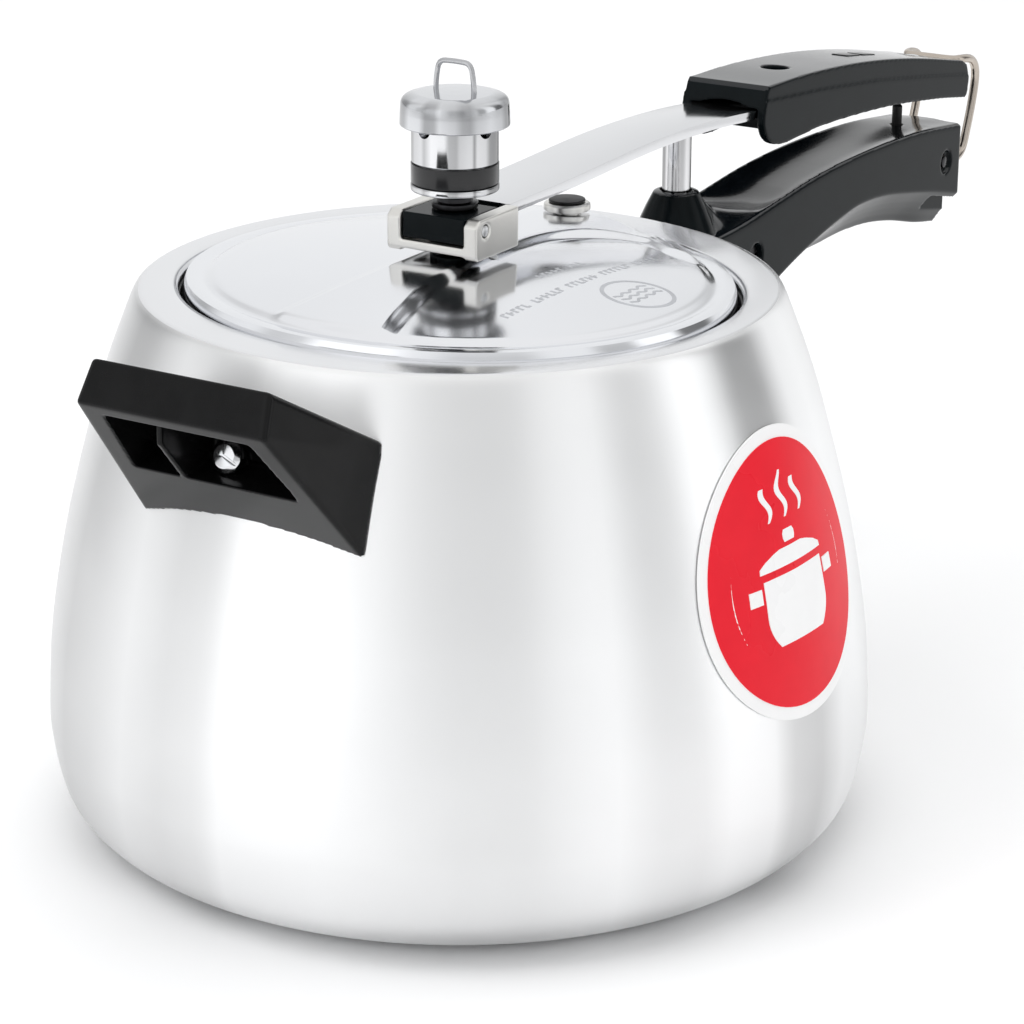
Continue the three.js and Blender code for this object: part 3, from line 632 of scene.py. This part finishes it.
# the rolled edge below the bead: (share of the radius, height over the bead's)
LID_EDGE = [(0.931, -1.2), (0.9345, -2.2), (0.935, -4.2), (0.9355, -6.6), (0.938, -7.7), (0.944, -8.1), (0.96, -8.1),
            (0.985, -8.1), (0.996, -8.4), (1.0, -9.2), (0.999, -10.0), (0.99, -10.6), (0.96, -10.7), (0.925, -10.7),
            (0.905, -10.3), (0.9, -9.0), (0.899, -6.0)]
LID_WALL = 2.6


def build_lid():
    """One sheet, in rings from the middle out over the top and back underneath."""
    sides = 360
    angles = TAU * np.arange(sides) / sides
    rings = [(k, lid_height) for k in (0.012, 0.05, 0.09, *np.linspace(0.12, 0.925, 86))]
    rings += [(k, lambda x, y, z=BEAD_Z + drop: np.full(sides, z)) for k, drop in LID_EDGE]
    rings += [(k, lambda x, y: lid_height(x, y) - LID_WALL) for k in np.linspace(0.89, 0.012, 34)]
    verts = []
    for k, height in rings:
        x, y = LID_X * k * np.cos(angles), LID_Y * k * np.sin(angles)
        verts += list(zip(x, y, height(x, y)))
    lid = close_ends(raw_mesh("lid_sheet", verts, grid_faces(len(rings), sides)))
    combine(lid, [upright("hole_a", TUBE_X, 150, 172, 5.3), upright("hole_b", VALVE_X, 145, 170, 4.3)])
    finish(lid, "lid", MIRROR, ["lid"], sharp=35)


def lid_mark(name, path, half):
    """A thin etched stroke that lies on the lid's top."""
    p = np.array(path, float)
    d = np.gradient(p, axis=0)
    d /= np.linalg.norm(d, axis=1)[:, None]
    side = np.stack([-d[:, 1], d[:, 0]], 1) * half
    rings = []
    for a, s in zip(p, side):
        left, right = a - s, a + s
        hl, hr = float(lid_height(*left)), float(lid_height(*right))
        rings.append([(*left, hl - 0.05), (*right, hr - 0.05), (*right, hr + 0.03), (*left, hl + 0.03)])
    return loft(name, rings)


MARK_PITCH = 2.3
MARK_RING = (1.5, -56)            # middle of the ring with three waves


def build_lid_marks():
    """Two rows of short strokes that aren't letters, and a ring."""
    strokes = []
    marks = random.Random(11)
    for start, end in (((-6, -29.5), (16.5, -31.5)), ((-37, -37.8), (36.6, -42.3))):
        start, end = np.array(start), np.array(end)
        along = (end - start) / np.linalg.norm(end - start)
        up = np.array((-along[1], along[0]))
        count = int(np.linalg.norm(end - start) / MARK_PITCH)
        for i in range(count):
            if i % 7 == 5:        # a gap between groups
                continue
            foot = start + along * MARK_PITCH * i
            strokes.append(lid_mark("upright", [foot - up * 1.3, foot, foot + up * 1.3], 0.42))
            level = marks.choice((-1.1, 0.0, 1.1))
            strokes.append(lid_mark("cross", [foot + up * level, foot + up * level + along * 1.3], 0.42))
    x, y = MARK_RING
    t, w = np.linspace(0, TAU, 61), np.linspace(-7.6, 7.6, 32)
    strokes.append(lid_mark("ring", np.stack([x + 9.75 * np.cos(t), y + 9.75 * np.sin(t)], 1), 0.6))
    for off in (-2.6, 0, 2.6):
        strokes.append(lid_mark("wave", np.stack([x + w, y + off + 0.5 * np.sin(w * 1.5)], 1), 0.45))
    finish(join("lid_etched_marks", strokes), "lid", ETCH)


def build_gasket():
    """A C-shaped ring round the lid's flange, made round and then squeezed to the oval."""
    under, over, top = FLANGE_Z - LID_WALL - 0.3, FLANGE_Z + 0.3, RIM_Z - WALL - 0.3
    profile = [(-6, under - 2, 0.6), (1.7, under - 2, 1.4), (1.7, top, 1.2), (-4.6, top, 0.8),
               (-4.6, over, 0.3), (0.3, over, 0.2), (0.3, under, 0.2), (-6, under, 0.3)]
    ring = turned_ring("sealing_ring", 0, 160, [(LID_Y + out, z, corner) for out, z, corner in profile])
    for v in ring.data.vertices:
        v.co.x *= LID_X / LID_Y
    finish(ring, "lid", RUBBER, ["gasket"])


def hexagon(name, x, across, bore, z0, z1):
    """A hexagon nut with chamfered corners and a round bore."""
    r = across / math.sqrt(3)
    corners = [(x + r * math.cos(TAU * k / 6), r * math.sin(TAU * k / 6)) for k in range(6)]
    prism = loft(name, [[(*corner, z) for corner in corners] for z in (z0, z1)])
    chamfer = turned("chamfer", x, 48, [(0.01, z0 - 0.01), (r * 0.92, z0 - 0.01), (r * 1.02, z0 + 0.6),
                                        (r * 1.02, z1 - 0.6), (r * 0.92, z1 + 0.01), (0.01, z1 + 0.01)])
    combine(prism, [close_ends(chamfer)], "INTERSECT")
    combine(prism, [upright("bore", x, z0 - 1, z1 + 1, bore)])
    return bevelled(prism, 0.2, 2)


def threaded(name, x, radius, bore, z0, z1, pitch, depth):
    """A tube with a helical thread between two heights."""
    cols, steps = 48, int((z1 - z0) / pitch * 10)
    verts = []
    for i in range(steps + 1):
        z = z0 + (z1 - z0) * i / steps
        for j in range(cols):
            t = TAU * j / cols
            phase = ((z - z0) / pitch - j / cols) % 1
            tooth = 1 - abs(2 * phase - 1)
            fade = min(1, (z - z0) / pitch, (z1 - z) / pitch)
            r = radius - depth * (1 - tooth) * max(fade, 0)
            verts.append((x + r * math.cos(t), r * math.sin(t), z))
    for r, z in ((bore, z1), (bore, z0)):
        for j in range(cols):
            t = TAU * j / cols
            verts.append((x + r * math.cos(t), r * math.sin(t), z))
    return raw_mesh(name, verts, grid_faces(steps + 3, cols, True))


def build_vent_tube():
    thread = threaded("vent_tube_thread", TUBE_X, 5.0, 2.0, 139, 176.4, 1.25, 0.55)
    upper = turned_ring("vent_tube_upper", TUBE_X, 64, [
        (2, 176.4), (5, 176.4), (6.4, 176.6, 0.3), (6.4, 178.2, 0.4), (5, 178.4, 0.2), (5, 179.6, 0.2),
        (4.5, 180, 0.2), (5, 180.4, 0.2), (5, 181.4, 0.2), (4.5, 181.8, 0.2), (5, 182.2, 0.2), (5, 184, 0.3),
        (3.6, 188.4, 0.3), (2, 188.4)])
    finish(thread, "lid", THREAD, ["vent_tube"])
    finish(upper, "lid", THREAD)
    washer = turned_ring("tube_washer", TUBE_X, 64, [(5.3, 157.9, 0.2), (8.6, 157.9, 0.3), (8.6, 159.3, 0.3),
                                                     (5.3, 159.3, 0.2)])
    finish(washer, "lid", PLATED, ["vent_tube_washer"])
    finish(hexagon("tube_nut", TUBE_X, 15, 5.3, 152, 157.6), "lid", PLATED, ["vent_tube_nut"])


def build_valve():
    seat = float(ridge_height(VALVE_X - 6.8)) + 0.3
    under = float(ridge_height(VALVE_X + 7)) - LID_WALL - 1.2
    body = turned_ring("valve_body", VALVE_X, 72, [
        (1.5, under - 4, 0.2), (4, under - 4, 0.4), (4, seat, 0.1), (6.8, seat, 0.3), (6.8, seat + 1.7, 0.5),
        (6, seat + 2.2, 0.2), (1.5, seat + 2.2)])
    finish(body, "lid", SATIN_STEEL, ["safety_valve_body"])
    cap = turned("valve_cap", VALVE_X, 56, [(0.01, seat + 2.5), (5.4, seat + 2.5, 0.15), (5.2, seat + 3.1, 0.3),
                                            (0.01, seat + 3.3)])
    finish(cap, "lid", RUBBER, ["safety_valve_cap"])
    finish(hexagon("valve_nut", VALVE_X, 12, 4.3, under - 3.4, under), "lid", PLATED,
                 ["safety_valve_nut"])


def build_pivot_block():
    body = slab("rocking_block", [(-13, 169), (4.6, 171.4), (4.6, 176.2), (-13, 176.2)], 9.9)
    combine(body, [upright("boss", TUBE_X, RIDGE_Z + 0.3, 172, 7)], "UNION")
    carve(body, [upright("bore", TUBE_X, 160, 180, 5.3), crosswise("pin_hole", PIN_X, PIN_Z, -12, 12, 1.9)])
    soften(body, 0.3, 3)
    finish(body, "lid", PHENOLIC, ["pivot_block"], sharp=0)


# -------- weight
def build_weight():
    needle = turned("needle", TUBE_X, 40, [(0.01, 188.8), (3, 192, 0.4), (3, 203.2, 0.3), (0.01, 203.2)])
    finish(needle, "needle", TURNED, ["weight_needle"])
    body = turned_ring("vent_weight_body", TUBE_X, 96, [
        (5.8, 181.5, 0.2), (12.2, 181.5, 0.5), (12.2, 183.4, 0.5), (10.9, 183.4, 0.1), (10.9, 189.5, 0.1),
        (12, 189.5, 0.3), (12, 203.4, 0.2), (3.4, 203.4), (3.4, 195, 0.4), (5.8, 191.5, 0.6)])
    vents = []
    for i in range(4):
        a = TAU * i / 4 + math.radians(77.6)
        ends = [(TUBE_X + r * math.cos(a), r * math.sin(a), 199.6) for r in (8, 14)]
        vents.append(rod(f"slot_{i}", *ends, 2.3, 32))
    combine(body, vents)
    finish(body, "weight", WEIGHT_STEEL, ["weight_body"], sharp=30)
    band = turned_ring("weight_rubber_band", TUBE_X, 96, [(11.2, 183.7, 0.1), (12.12, 183.7, 0.25),
                                                          (12.12, 189.2, 0.25), (11.2, 189.2, 0.1)])
    finish(band, "weight", GLOSS_BLACK, ["weight_band"])
    cap = turned("weight_top_cap", TUBE_X, 96, [
        (0.01, 204.2), (12.7, 203.6, 0.8), (13.9, 199.6, 0.2), (15.15, 199.5, 0.5), (15.0, 203.4, 5),
        (14.7, 207.2, 2.6), (10.4, 208.35, 3), (5, 208.6, 3), (0.01, 208.7)], steps=6)
    finish(cap, "weight", CAP_STEEL, ["weight_cap"], sharp=50)
    side = [(6.1, 206.2), (6.1, 208.5), (6.0, 211), (5.7, 213.2), (5.2, 215.3), (4.0, 216.5), (1.6, 216.75)]
    path = [(TUBE_X, -y, z) for y, z in side] + [(TUBE_X, y, z) for y, z in side[::-1]]
    finish(tube("weight_wire_loop", spline(path, 90), 0.74, 16), "weight", LOOP_STEEL,
                 ["weight_lift_loop"])


# -------- handle bar
BAR_TOP = spline([(3, 176.4), (40, 176.8), (85, 178.2), (120, 177.6), (150, 175.4), (205, 170.3), (275, 163),
                  (300, 159.8)], 60)


def bar_top(x):
    return on_line(BAR_TOP, x)


def bar_strip(start, end, thickness, rise=0.0):
    """Outline of a strip that follows the bar."""
    xs = np.linspace(start, end, 48)
    upper = [(x, bar_top(x) + rise) for x in xs]
    return upper + [(x, z - thickness) for x, z in reversed(upper)]


def build_bar():
    bar = slab("lever_bar", bar_strip(8.1, 296, 2.8), 11.5)
    combine(bar, [upright("hole", x, 150, 190, 2.5) for x in SCREW_X])
    bevelled(bar, 0.5, 3, 35)
    finish(bar, "lever", CHROME, ["handle_bar"], sharp=28)
    side = [(-14, 166.4), (-13.2, 165.2), (8, 165.2), (8, 176.5), (-12, 176.5), (-14, 174.8)]
    channel = slab("channel", side, 14.5)
    carve(channel, [block("trough", -16, 10, -10.2, 10.2, 168.6, 180), block("under", -16, 10, -10.2, 10.2, 160, 166),
                    block("slot", -10.4, 9, -8.6, 8.6, 160, 170), crosswise("pin", PIN_X, PIN_Z, -16, 16, 1.9)])
    soften(channel, 0.35, 9)
    finish(channel, "lever", SATIN_STEEL, sharp=0)
    post = turned("lever_post", POST_X, 64, [(0.01, 148.1), (1.7, 148.3), (3.2, 149.4), (4.1, 150.9), (4.4, 152.5),
                                             (4.4, 174.6, 0.2), (0.01, 174.6)])
    finish(post, "lever", POST_STEEL, ["fulcrum_post"])
    pin = crosswise("rocking_pin", PIN_X, PIN_Z, -14.3, 14.3, 1.6)
    finish(bevelled(pin, 0.3, 2), "lever", PLATED, ["pivot_pin"])


# -------- lid handle
NUT_DEPTH = 4.6                   # the nuts' seats under the top of the bar


def painted_lit_top(obj):
    """The upward faces of a handle get a lit copy of its black, brighter than its sides: painted light."""
    obj.data.materials.append(PHENOLIC_PAINTED_LIT)
    for polygon in obj.data.polygons:
        if polygon.normal.z > 0.6:
            polygon.material_index = 1


def build_lid_handle():
    top = spline([(155.5, 182.5), (186, 181.5), (222, 178.4), (258, 173.2), (299, 165.2)], 40)
    end = [(302.6, 163.2), (304, 160), (303.2, 154), (302.2, 152.4)]
    bottom = spline([(301, 152), (277, 155.8), (239, 160.3), (195, 163), (168, 162.5), (160, 163.4)], 36)
    front = spline([(157.2, 164.4), (154.2, 166.6), (152.2, 169.8), (151.7, 173), (152.6, 177), (154.2, 181.2)], 12)
    lower = slab("cover_lower", [*top, *end, *bottom, *front], LID_GRIP)
    above_groove = [(150, 178.4), (193.6, 174.6), (232, 170.3), (270, 164.7), (306, 158.9), (306, 200), (150, 200)]
    combine(lower, [slab("trim", above_groove, 2, s * (LID_GRIP + 1.65)) for s in (-1, 1)])
    hollow = 11.9                 # half the width of the room inside
    arch = [(hollow * math.cos(a), 171.5 + 5.6 * math.sin(a) ** 0.8) for a in (math.pi * k / 24 for k in range(25))]
    arch += [(-hollow, 158), (hollow, 158)]
    cuts = [loft("mouth", [[(x, y, z) for y, z in arch] for x in (146, 164)]),
            slab("deep", [(160, 158), (178, 158), (178, 170.5), (160, 173.5)], hollow),
            slab("socket", bar_strip(140, 297.5, 3.6, 0.4), hollow)]
    for x in SCREW_X:
        cuts += [upright("shank", x, 150, 190, 2.6), upright("head", x, bar_top(x) + 3.4, 190, 4.4),
                 upright("nut", x, 150, bar_top(x) - NUT_DEPTH, 4.6)]
    carve(lower, cuts)
    soften(lower, 0.5, 4)
    finish(lower, "lever", PHENOLIC, ["lid_handle"], sharp=0)
    # painted light: the upward faces get the lit copy of the black
    painted_lit_top(lower)
    bars = []
    for start in (232, 243.5):
        line = [(x, on_line(top, x)) for x in np.linspace(start, start + 9, 8)]
        outline = [(x, z + 0.28) for x, z in line] + [(x, z - 0.6) for x, z in reversed(line)]
        bars.append(bevelled(slab("plain_mark", outline, 3.0), 0.2, 2))
    finish(join("cover_plain_marks", bars), "lever", PHENOLIC_SATIN)


def build_handle_screws():
    for i, x in enumerate(SCREW_X, 1):
        foot, seat = bar_top(x) - NUT_DEPTH, bar_top(x) + 3.7
        screw = close_ends(turned(f"cover_screw_{i}", x, 48, [
            (0.01, foot - 2.4), (2.1, foot - 2.4, 0.3), (2.1, seat), (4, seat, 0.2), (4, seat + 1.2, 0.5),
            (2.6, seat + 2.1, 0.6), (0.01, seat + 2.2)]))
        combine(screw, [block("slot", x - 0.45, x + 0.45, -3.2, 3.2, seat + 1.1, seat + 4)])
        finish(screw, "lever", PLATED, [f"lid_handle_screw_{i}"], sharp=30)
        nut = hexagon(f"cover_nut_{i}", x, 7, 2.4, foot - 2.4, foot - 0.3)
        finish(nut, "lever", PLATED, [f"lid_handle_nut_{i}"], sharp=30)


# -------- body handle
RIM_LINE = spline([(96, 140.8), (108, 141), (140, 141.9), (165, 144.4), (190, 146.8), (215, 147.8), (242, 147.6),
                   (270, 146.2), (300, 143)], 60)
SIDE_LINE = spline([(96, 97.8), (108, 101), (140, 109.5), (165, 118.8), (190, 125.4), (215, 129.8), (228, 130.6),
                    (244, 129.4), (263, 126.2), (283, 122.2), (300, 118.2)], 60)
KEEL_LINE = spline([(96, 96.2), (108, 99), (140, 106.5), (165, 114.6), (190, 118.4), (214, 119), (228, 119.2),
                    (246, 118), (265, 114.8), (285, 109.8), (300, 107)], 60)
CREST_LINE = spline([(96, 141), (110, 146), (123, 150), (131, 152.6), (137, 148.4), (145, 145.2), (155, 142.6),
                     (165, 140.6), (176, 140.2), (192, 142), (215, 143.6), (245, 144.6), (272, 145.2), (290, 144.6),
                     (300, 143.6)], 80)


def body_section(x):
    """The handle's outline across, at x: crest, rim, side and keel, then mirrored."""
    rim, side = on_line(RIM_LINE, x), on_line(SIDE_LINE, x)
    keel, crest = on_line(KEEL_LINE, x), on_line(CREST_LINE, x)
    w = BODY_GRIP
    half = []
    for t in np.linspace(0, 1, 12):
        y = t * (w - 1.3)
        if crest > rim:
            z = rim + (crest - rim) * (1 - float(smoothstep(t, 0.12, 1.0)))
        else:
            z = crest + (rim - crest) * (0.25 * t ** 2 + 0.75 * t ** 4)
        half.append((y, z))
    half += [(w - 0.5, rim - 0.3), (w - 0.1, rim - 0.9), (w, rim - 2)]
    half += [(w, rim + (side - rim) * k) for k in (0.25, 0.5, 0.75)]
    half += [(w, side + 0.6), (w - 0.25, side)]
    flat = w * 0.36
    for k in (0.2, 0.4, 0.6, 0.8):
        bow = 0.6 * math.sin(math.pi * k)
        half.append((w + (flat - w) * k - 0.2, side + (keel - side) * k + bow))
    half += [(flat, keel), (flat * 0.5, keel - 0.1), (0, keel - 0.1)]
    mirrored = [(-y, z) for y, z in half[1:-1]][::-1]
    return [(x, y, z) for y, z in half + mirrored]


def pot_form(offset, name="wall"):
    """The pot's outer form as a solid, grown by an offset."""
    top = [(RIM_R + 1 + offset, RIM_Z - 3.6), (RIM_R + offset, RIM_Z + offset), (0.01, RIM_Z + offset)]
    return close_ends(turned(name, 0, 200, [(0.01, -offset)] + [(r + offset, z) for r, z in SIDE] + top))


def laid_across(obj, x, y, z):
    """Turns a piece made round the origin's upright axis to lie across the handle, and puts it in place."""
    obj.data.transform(Matrix.Translation((x * MM, y * MM, z * MM)) @ Matrix.Rotation(math.pi / 2, 4, "X"))
    return obj


def build_body_handle():
    grip = loft("grip", [body_section(x) for x in (*np.linspace(96, 299.2, 86), 300)])
    boss = turned("boss", POST_X, 72, [(0.01, 130), (13.4, 130), (13.0, 139.5), (11.6, 144.5, 6), (9.2, 150, 8),
                                       (6.9, 154.6, 0.8), (5.2, 155, 0.2), (0.01, 155)])
    combine(grip, [close_ends(boss)], "UNION")
    socket = turned("socket", POST_X, 48, [(0.01, 147.6), (3, 147.6), (4.9, 150.2), (4.9, 158), (0.01, 158)])
    fin = slab("fin", [(90, 106), (135, 117.6), (167.4, 122.6), (167.4, 135.4), (135, 137.4), (90, 139)], 2.4)
    depth, past = BODY_GRIP - 4.2, 20          # where the bolt's recesses end, and a place outside the handle
    cuts = [close_ends(socket), pot_form(3.6), fin]
    cuts += [block("slot", LATCH_X - 8, 302, s * LATCH_Y - 1.9, s * LATCH_Y + 1.9, 95, LATCH_Z + 5.2) for s in (-1, 1)]
    cuts += [crosswise("pin", LATCH_X, LATCH_Z, -past, past, 2.3), crosswise("bolt", BOLT_X, BOLT_Z, -past, past, 2.4)]
    for x, z, inner, radius in ((BOLT_X, BOLT_Z, depth, 4.3), (LATCH_X, LATCH_Z, 12.7, 4.0)):
        cuts += [crosswise("recess", x, z, -past, -inner, radius), crosswise("recess", x, z, inner, past, radius)]
    carve(grip, cuts + [upright("peg", PEG_X, PEG_Z - 5, PEG_Z + 8, 2)])
    soften(grip, 0.5, 3)
    finish(grip, "pot", PHENOLIC, ["body_handle"], sharp=0)
    # painted light: the upward faces get the lit copy of the black
    painted_lit_top(grip)
    seat = depth + 0.3
    shank = crosswise("grip_bolt", BOLT_X, BOLT_Z, -seat - 0.5, seat + 3, 2.1)
    combine(shank, [bevelled(crosswise("head", BOLT_X, BOLT_Z, -seat - 2.2, -seat, 3.9), 0.5)], "UNION")
    combine(shank, [block("slot", BOLT_X - 3.4, BOLT_X + 3.4, -seat - 4, -seat - 1.3, BOLT_Z - 0.45, BOLT_Z + 0.45)])
    finish(shank, "pot", THREAD, ["body_handle_bolt"], sharp=30)
    nut = laid_across(hexagon("grip_nut", 0, 6.75, 2.35, -1.3, 1.3), BOLT_X, seat + 1.3, BOLT_Z)
    finish(nut, "pot", THREAD, ["body_handle_nut"], sharp=30)
    peg = turned("stop_peg", PEG_X, 32, [(0.01, PEG_Z - 4), (1.7, PEG_Z - 4, 0.2), (1.7, PEG_Z + 9.2, 0.8),
                                         (1.1, PEG_Z + 9.9, 0.4), (0.01, PEG_Z + 10)])
    finish(peg, "pot", RUBBER, ["handle_stop_peg"])
    pin = bevelled(crosswise("loop_pin", LATCH_X, LATCH_Z, -13.6, 13.6, 2), 0.4, 2)
    finish(pin, "pot", THREAD, ["latch_pin"])


RIVETS_AT = [(a, z) for a in (-0.1, 0.1) for z in (113, 134)]      # azimuth and height


def through_wall(name, azimuth, z, radius):
    return rod(name, on_wall(azimuth, z, -8), on_wall(azimuth, z, 8), radius)


def build_bracket():
    plate = pot_form(3.3, "wall_bracket")
    combine(plate, [block("keep", 80, 118, -14, 14, 105, 141)], "INTERSECT")
    fin = slab("fin", [(98, 109), (135, 118), (167, 123), (167, 135), (135, 137), (98, 138.5)], 1.9)
    combine(plate, [fin], "UNION")
    carve(plate, [pot_form(0.3)] + [through_wall("hole", *place, 2.9) for place in RIVETS_AT]
          + [crosswise("bolt", BOLT_X, BOLT_Z, -5, 5, 2.4)])
    bevelled(plate, 0.35, 2, 40)
    finish(plate, "pot", SATIN_STEEL, ["handle_bracket"], sharp=30)


def wall_turned(name, azimuth, z, profile):
    """A turned piece whose axis leaves the pot's wall squarely."""
    obj = close_ends(turned(name, 0, 40, profile))
    foot = Vector(on_wall(azimuth, z, 0))
    out = (Vector(on_wall(azimuth, z, 10)) - foot).normalized()
    tilt = Vector((0, 0, 1)).rotation_difference(out).to_matrix().to_4x4()
    obj.data.transform(Matrix.Translation(foot * MM) @ tilt)
    return obj


def build_rivets():
    for i, place in enumerate(RIVETS_AT, 1):
        rivet = wall_turned(f"wall_rivet_{i}", *place, [
            (0.01, -5.65), (2.6, -5.45, 1.5), (4.6, -4.2, 0.3), (4.6, -3.55, 0.1), (2.6, -3.55), (2.6, 2.7, 0.3),
            (0.01, 2.7)])
        finish(rivet, "pot", PLATED, [f"bracket_rivet_{i}"])


# -------- latch loop
def build_latch():
    side = [(292.6, 130.9), (298, 129.6), (303, 129), (309.5, 131.5), (312.8, 138), (315.5, 145), (317.3, 151),
            (318, 156), (317, 159.8), (314, 162.4), (310, 163.6)]
    half = [(x, LATCH_Y, z) for x, z in side] + [(306, LATCH_Y - 0.5, 164), (303.6, LATCH_Y - 1.9, 164), (303, 5, 164)]
    path = [(x, -y, z) for x, y, z in half] + [(303, 0, 164)] + half[::-1]
    loop = tube("latch_wire", spline(path, 190), 1.48, 20)
    eye = [(2.3, -1.5, 0.1), (4.2, -1.5, 0.7), (4.2, 1.5, 0.7), (2.3, 1.5, 0.1)]
    eyes = [laid_across(turned_ring("eye", 0, 40, eye), LATCH_X, y, LATCH_Z) for y in (-LATCH_Y, LATCH_Y)]
    combine(loop, eyes, "UNION")
    finish(loop, "latch", WIRE, ["latch_loop"], sharp=50)


# -------- helper handle
def wedge(name, *ends):
    """A block between two upright ends, each given as its top and bottom corner (x, half width, z)."""
    return loft(name, [[(xt, yt, zt), (xt, -yt, zt), (xb, -yb, zb), (xb, yb, zb)]
                       for (xt, yt, zt), (xb, yb, zb) in ends])


def build_helper():
    body = wedge("side_grip", [(-78, 36.7, 132.4), (-87, 37.1, 96.6)], [(-127.5, 27.5, 161), (-132.8, 29.3, 150.3)])
    bevelled(body, 1.3, 4)
    hollow = wedge("hollow", [(-101, 27, 142.4), (-102.5, 27, 131.5)], [(-125.3, 22.5, 156.6), (-128.6, 22, 151.2)])
    mouth = wedge("mouth", [(-103, 26, 141), (-104, 26, 131.5)], [(-134, 22, 148.2), (-140, 24, 122)])
    combine(body, [pot_form(0.3)])
    recess = pot_form(3.4, "recess")
    combine(recess, [block("keep", -130, -80, -15.4, 15.4, 121.4, 139.5)], "INTERSECT")
    combine(body, [recess])
    combine(hollow, [mouth], "UNION")
    combine(hollow, [block("rib", -124, -96, 9.0, 10.7, 128, 160)])
    combine(body, [hollow])
    a, b = np.array(on_wall(*STUD_AT, 9.5)), np.array(on_wall(*STUD_AT, 60))
    t = (b - a) / np.linalg.norm(b - a)
    u = np.array((0.0, 1.0, 0.0))
    v = np.cross(t, u)
    ring = [5.3 * (math.cos(k) * u + math.sin(k) * v) for k in (np.arange(6) + 0.32) * TAU / 6]
    carve(body, [loft("hex", [[a + r for r in ring], [b + r for r in ring]]),
                 rod("stud_hole", on_wall(*STUD_AT, 1), on_wall(*STUD_AT, 11), 2.6)])
    soften(body, 0.4, 3)
    finish(body, "pot", PHENOLIC_SATIN, ["helper_handle"], sharp=0)
    pad = pot_form(3.0, "side_grip_pad")
    combine(pad, [block("keep", -125, -80, -15, 15, 121.8, 139)], "INTERSECT")
    carve(pad, [pot_form(0.3), through_wall("hole", *STUD_AT, 3.4)])
    finish(bevelled(pad, 0.3, 2, 40), "pot", SATIN_STEEL, ["helper_pad"], sharp=30)
    stud = wall_turned("side_grip_stud", *STUD_AT, [
        (0.01, -5.45), (3, -5.4, 1.2), (5.6, -4.2, 0.4), (5.6, -3.55, 0.1), (2.2, -3.55), (2.2, 11.2, 0.4),
        (0.01, 11.5)])
    finish(stud, "pot", PLATED, ["helper_stud"])
    nut = wall_turned("side_grip_nut", *STUD_AT, [
        (0.01, 9.8), (4.6, 9.8, 0.2), (4.6, 11.2, 0.8), (3.2, 12.4, 0.8), (0.01, 12.6)])
    slot = [np.array(on_wall(*STUD_AT, lift)) + (0, y, z) for lift, y, z in ((12.6, -6, -3), (13.4, 6, 3))]
    combine(nut, [rod("slot", *slot, 0.55)])
    finish(nut, "pot", CHROME, ["helper_screw_nut"], sharp=35)


for build in (build_pot, build_label, build_lid, build_lid_marks, build_gasket, build_vent_tube, build_valve,
              build_pivot_block, build_weight, build_bar, build_lid_handle, build_handle_screws, build_body_handle,
              build_bracket, build_rivets, build_latch, build_helper):
    build()


# -------- studio
# brightness of the room round the horizon: (degrees from the camera's side, level)
ROOM = [(-180, 1.0), (-160, 0.95), (-142, 0.6), (-128, 0.5), (-112, 0.95), (-96, 1.0), (-84, 0.75), (-74, 0.8),
        (-62, 1.35), (-40, 1.35), (-24, 1.0), (-8, 0.74), (14, 0.7), (30, 1.0), (44, 1.0), (54, 0.6), (64, 0.62),
        (74, 1.3), (90, 1.3), (98, 0.22), (114, 0.2), (124, 0.95), (144, 1.0), (160, 0.7), (172, 0.95), (180, 1.0)]


def build_world():
    """A pale room with soft darker and lighter parts round the horizon, and plain white overhead."""
    world = bpy.data.worlds.new("studio")
    bpy.context.scene.world = world
    world.use_nodes = True
    n = Nodes(world.node_tree)
    background = n.tree.nodes["Background"]
    turn = {"Vector": n.node("ShaderNodeTexCoord").outputs["Generated"], "Angle": math.radians(-FRONT)}
    x, y, z = n.split(n.node("ShaderNodeVectorRotate", turn, rotation_type="Z_AXIS").outputs["Vector"])
    stops = [((degrees + 180) / 360, (level * 0.985, level * 0.993, level)) for degrees, level in ROOM]
    walls = n.ramp(n.around(x, y), stops, "EASE")
    n.feed(background.inputs["Color"], n.mix(n.spread(z, 0, 1, 0.35, 0.85), walls, (1.0, 1.0, 1.0)))
    background.inputs["Strength"].default_value = 0.95


def area_light(name, place, target, size, power):
    """A square light that isn't itself seen in reflections."""
    light = bpy.data.lights.new(name, "AREA")
    light.shape, light.size, light.size_y, light.energy = "RECTANGLE", size, size, power
    obj = new_object(name, light)
    obj.location = place
    obj.rotation_euler = (Vector(target) - Vector(place)).to_track_quat("-Z", "Y").to_euler()
    obj.visible_glossy = False


def build_floor():
    bpy.ops.mesh.primitive_plane_add(size=14, location=(0, 0, 0))
    floor = bpy.context.object
    floor.name = "floor"
    s = Shader("floor_paper", (0.94, 0.94, 0.945), 0.0, 0.6)
    s.color(s.ramp(s.noise(1.3, 2), [(0.3, (0.935, 0.937, 0.942)), (0.7, (0.945, 0.945, 0.948))]))
    floor.data.materials.append(s.material)


def build_camera():
    data = bpy.data.cameras.new("camera")
    camera = new_object("camera", data)
    camera.location = (-0.7642, -0.4888, 0.4075)
    camera.rotation_euler = Vector((0.7944, 0.5081, -0.3330)).to_track_quat("-Z", "Y").to_euler()
    data.sensor_width, data.lens = 36.0, 119.53
    data.shift_x = 0.0518
    data.clip_end = 30
    bpy.context.scene.camera = camera


build_world()
build_floor()
area_light("key", (-0.9, 0.9, 1.7), (0, 0, 0.05), 1.0, 9)
area_light("top", (0.1, -0.1, 1.9), (0, 0, 0), 1.2, 9)
build_camera()
bpy.context.scene.view_settings.view_transform = "Standard"
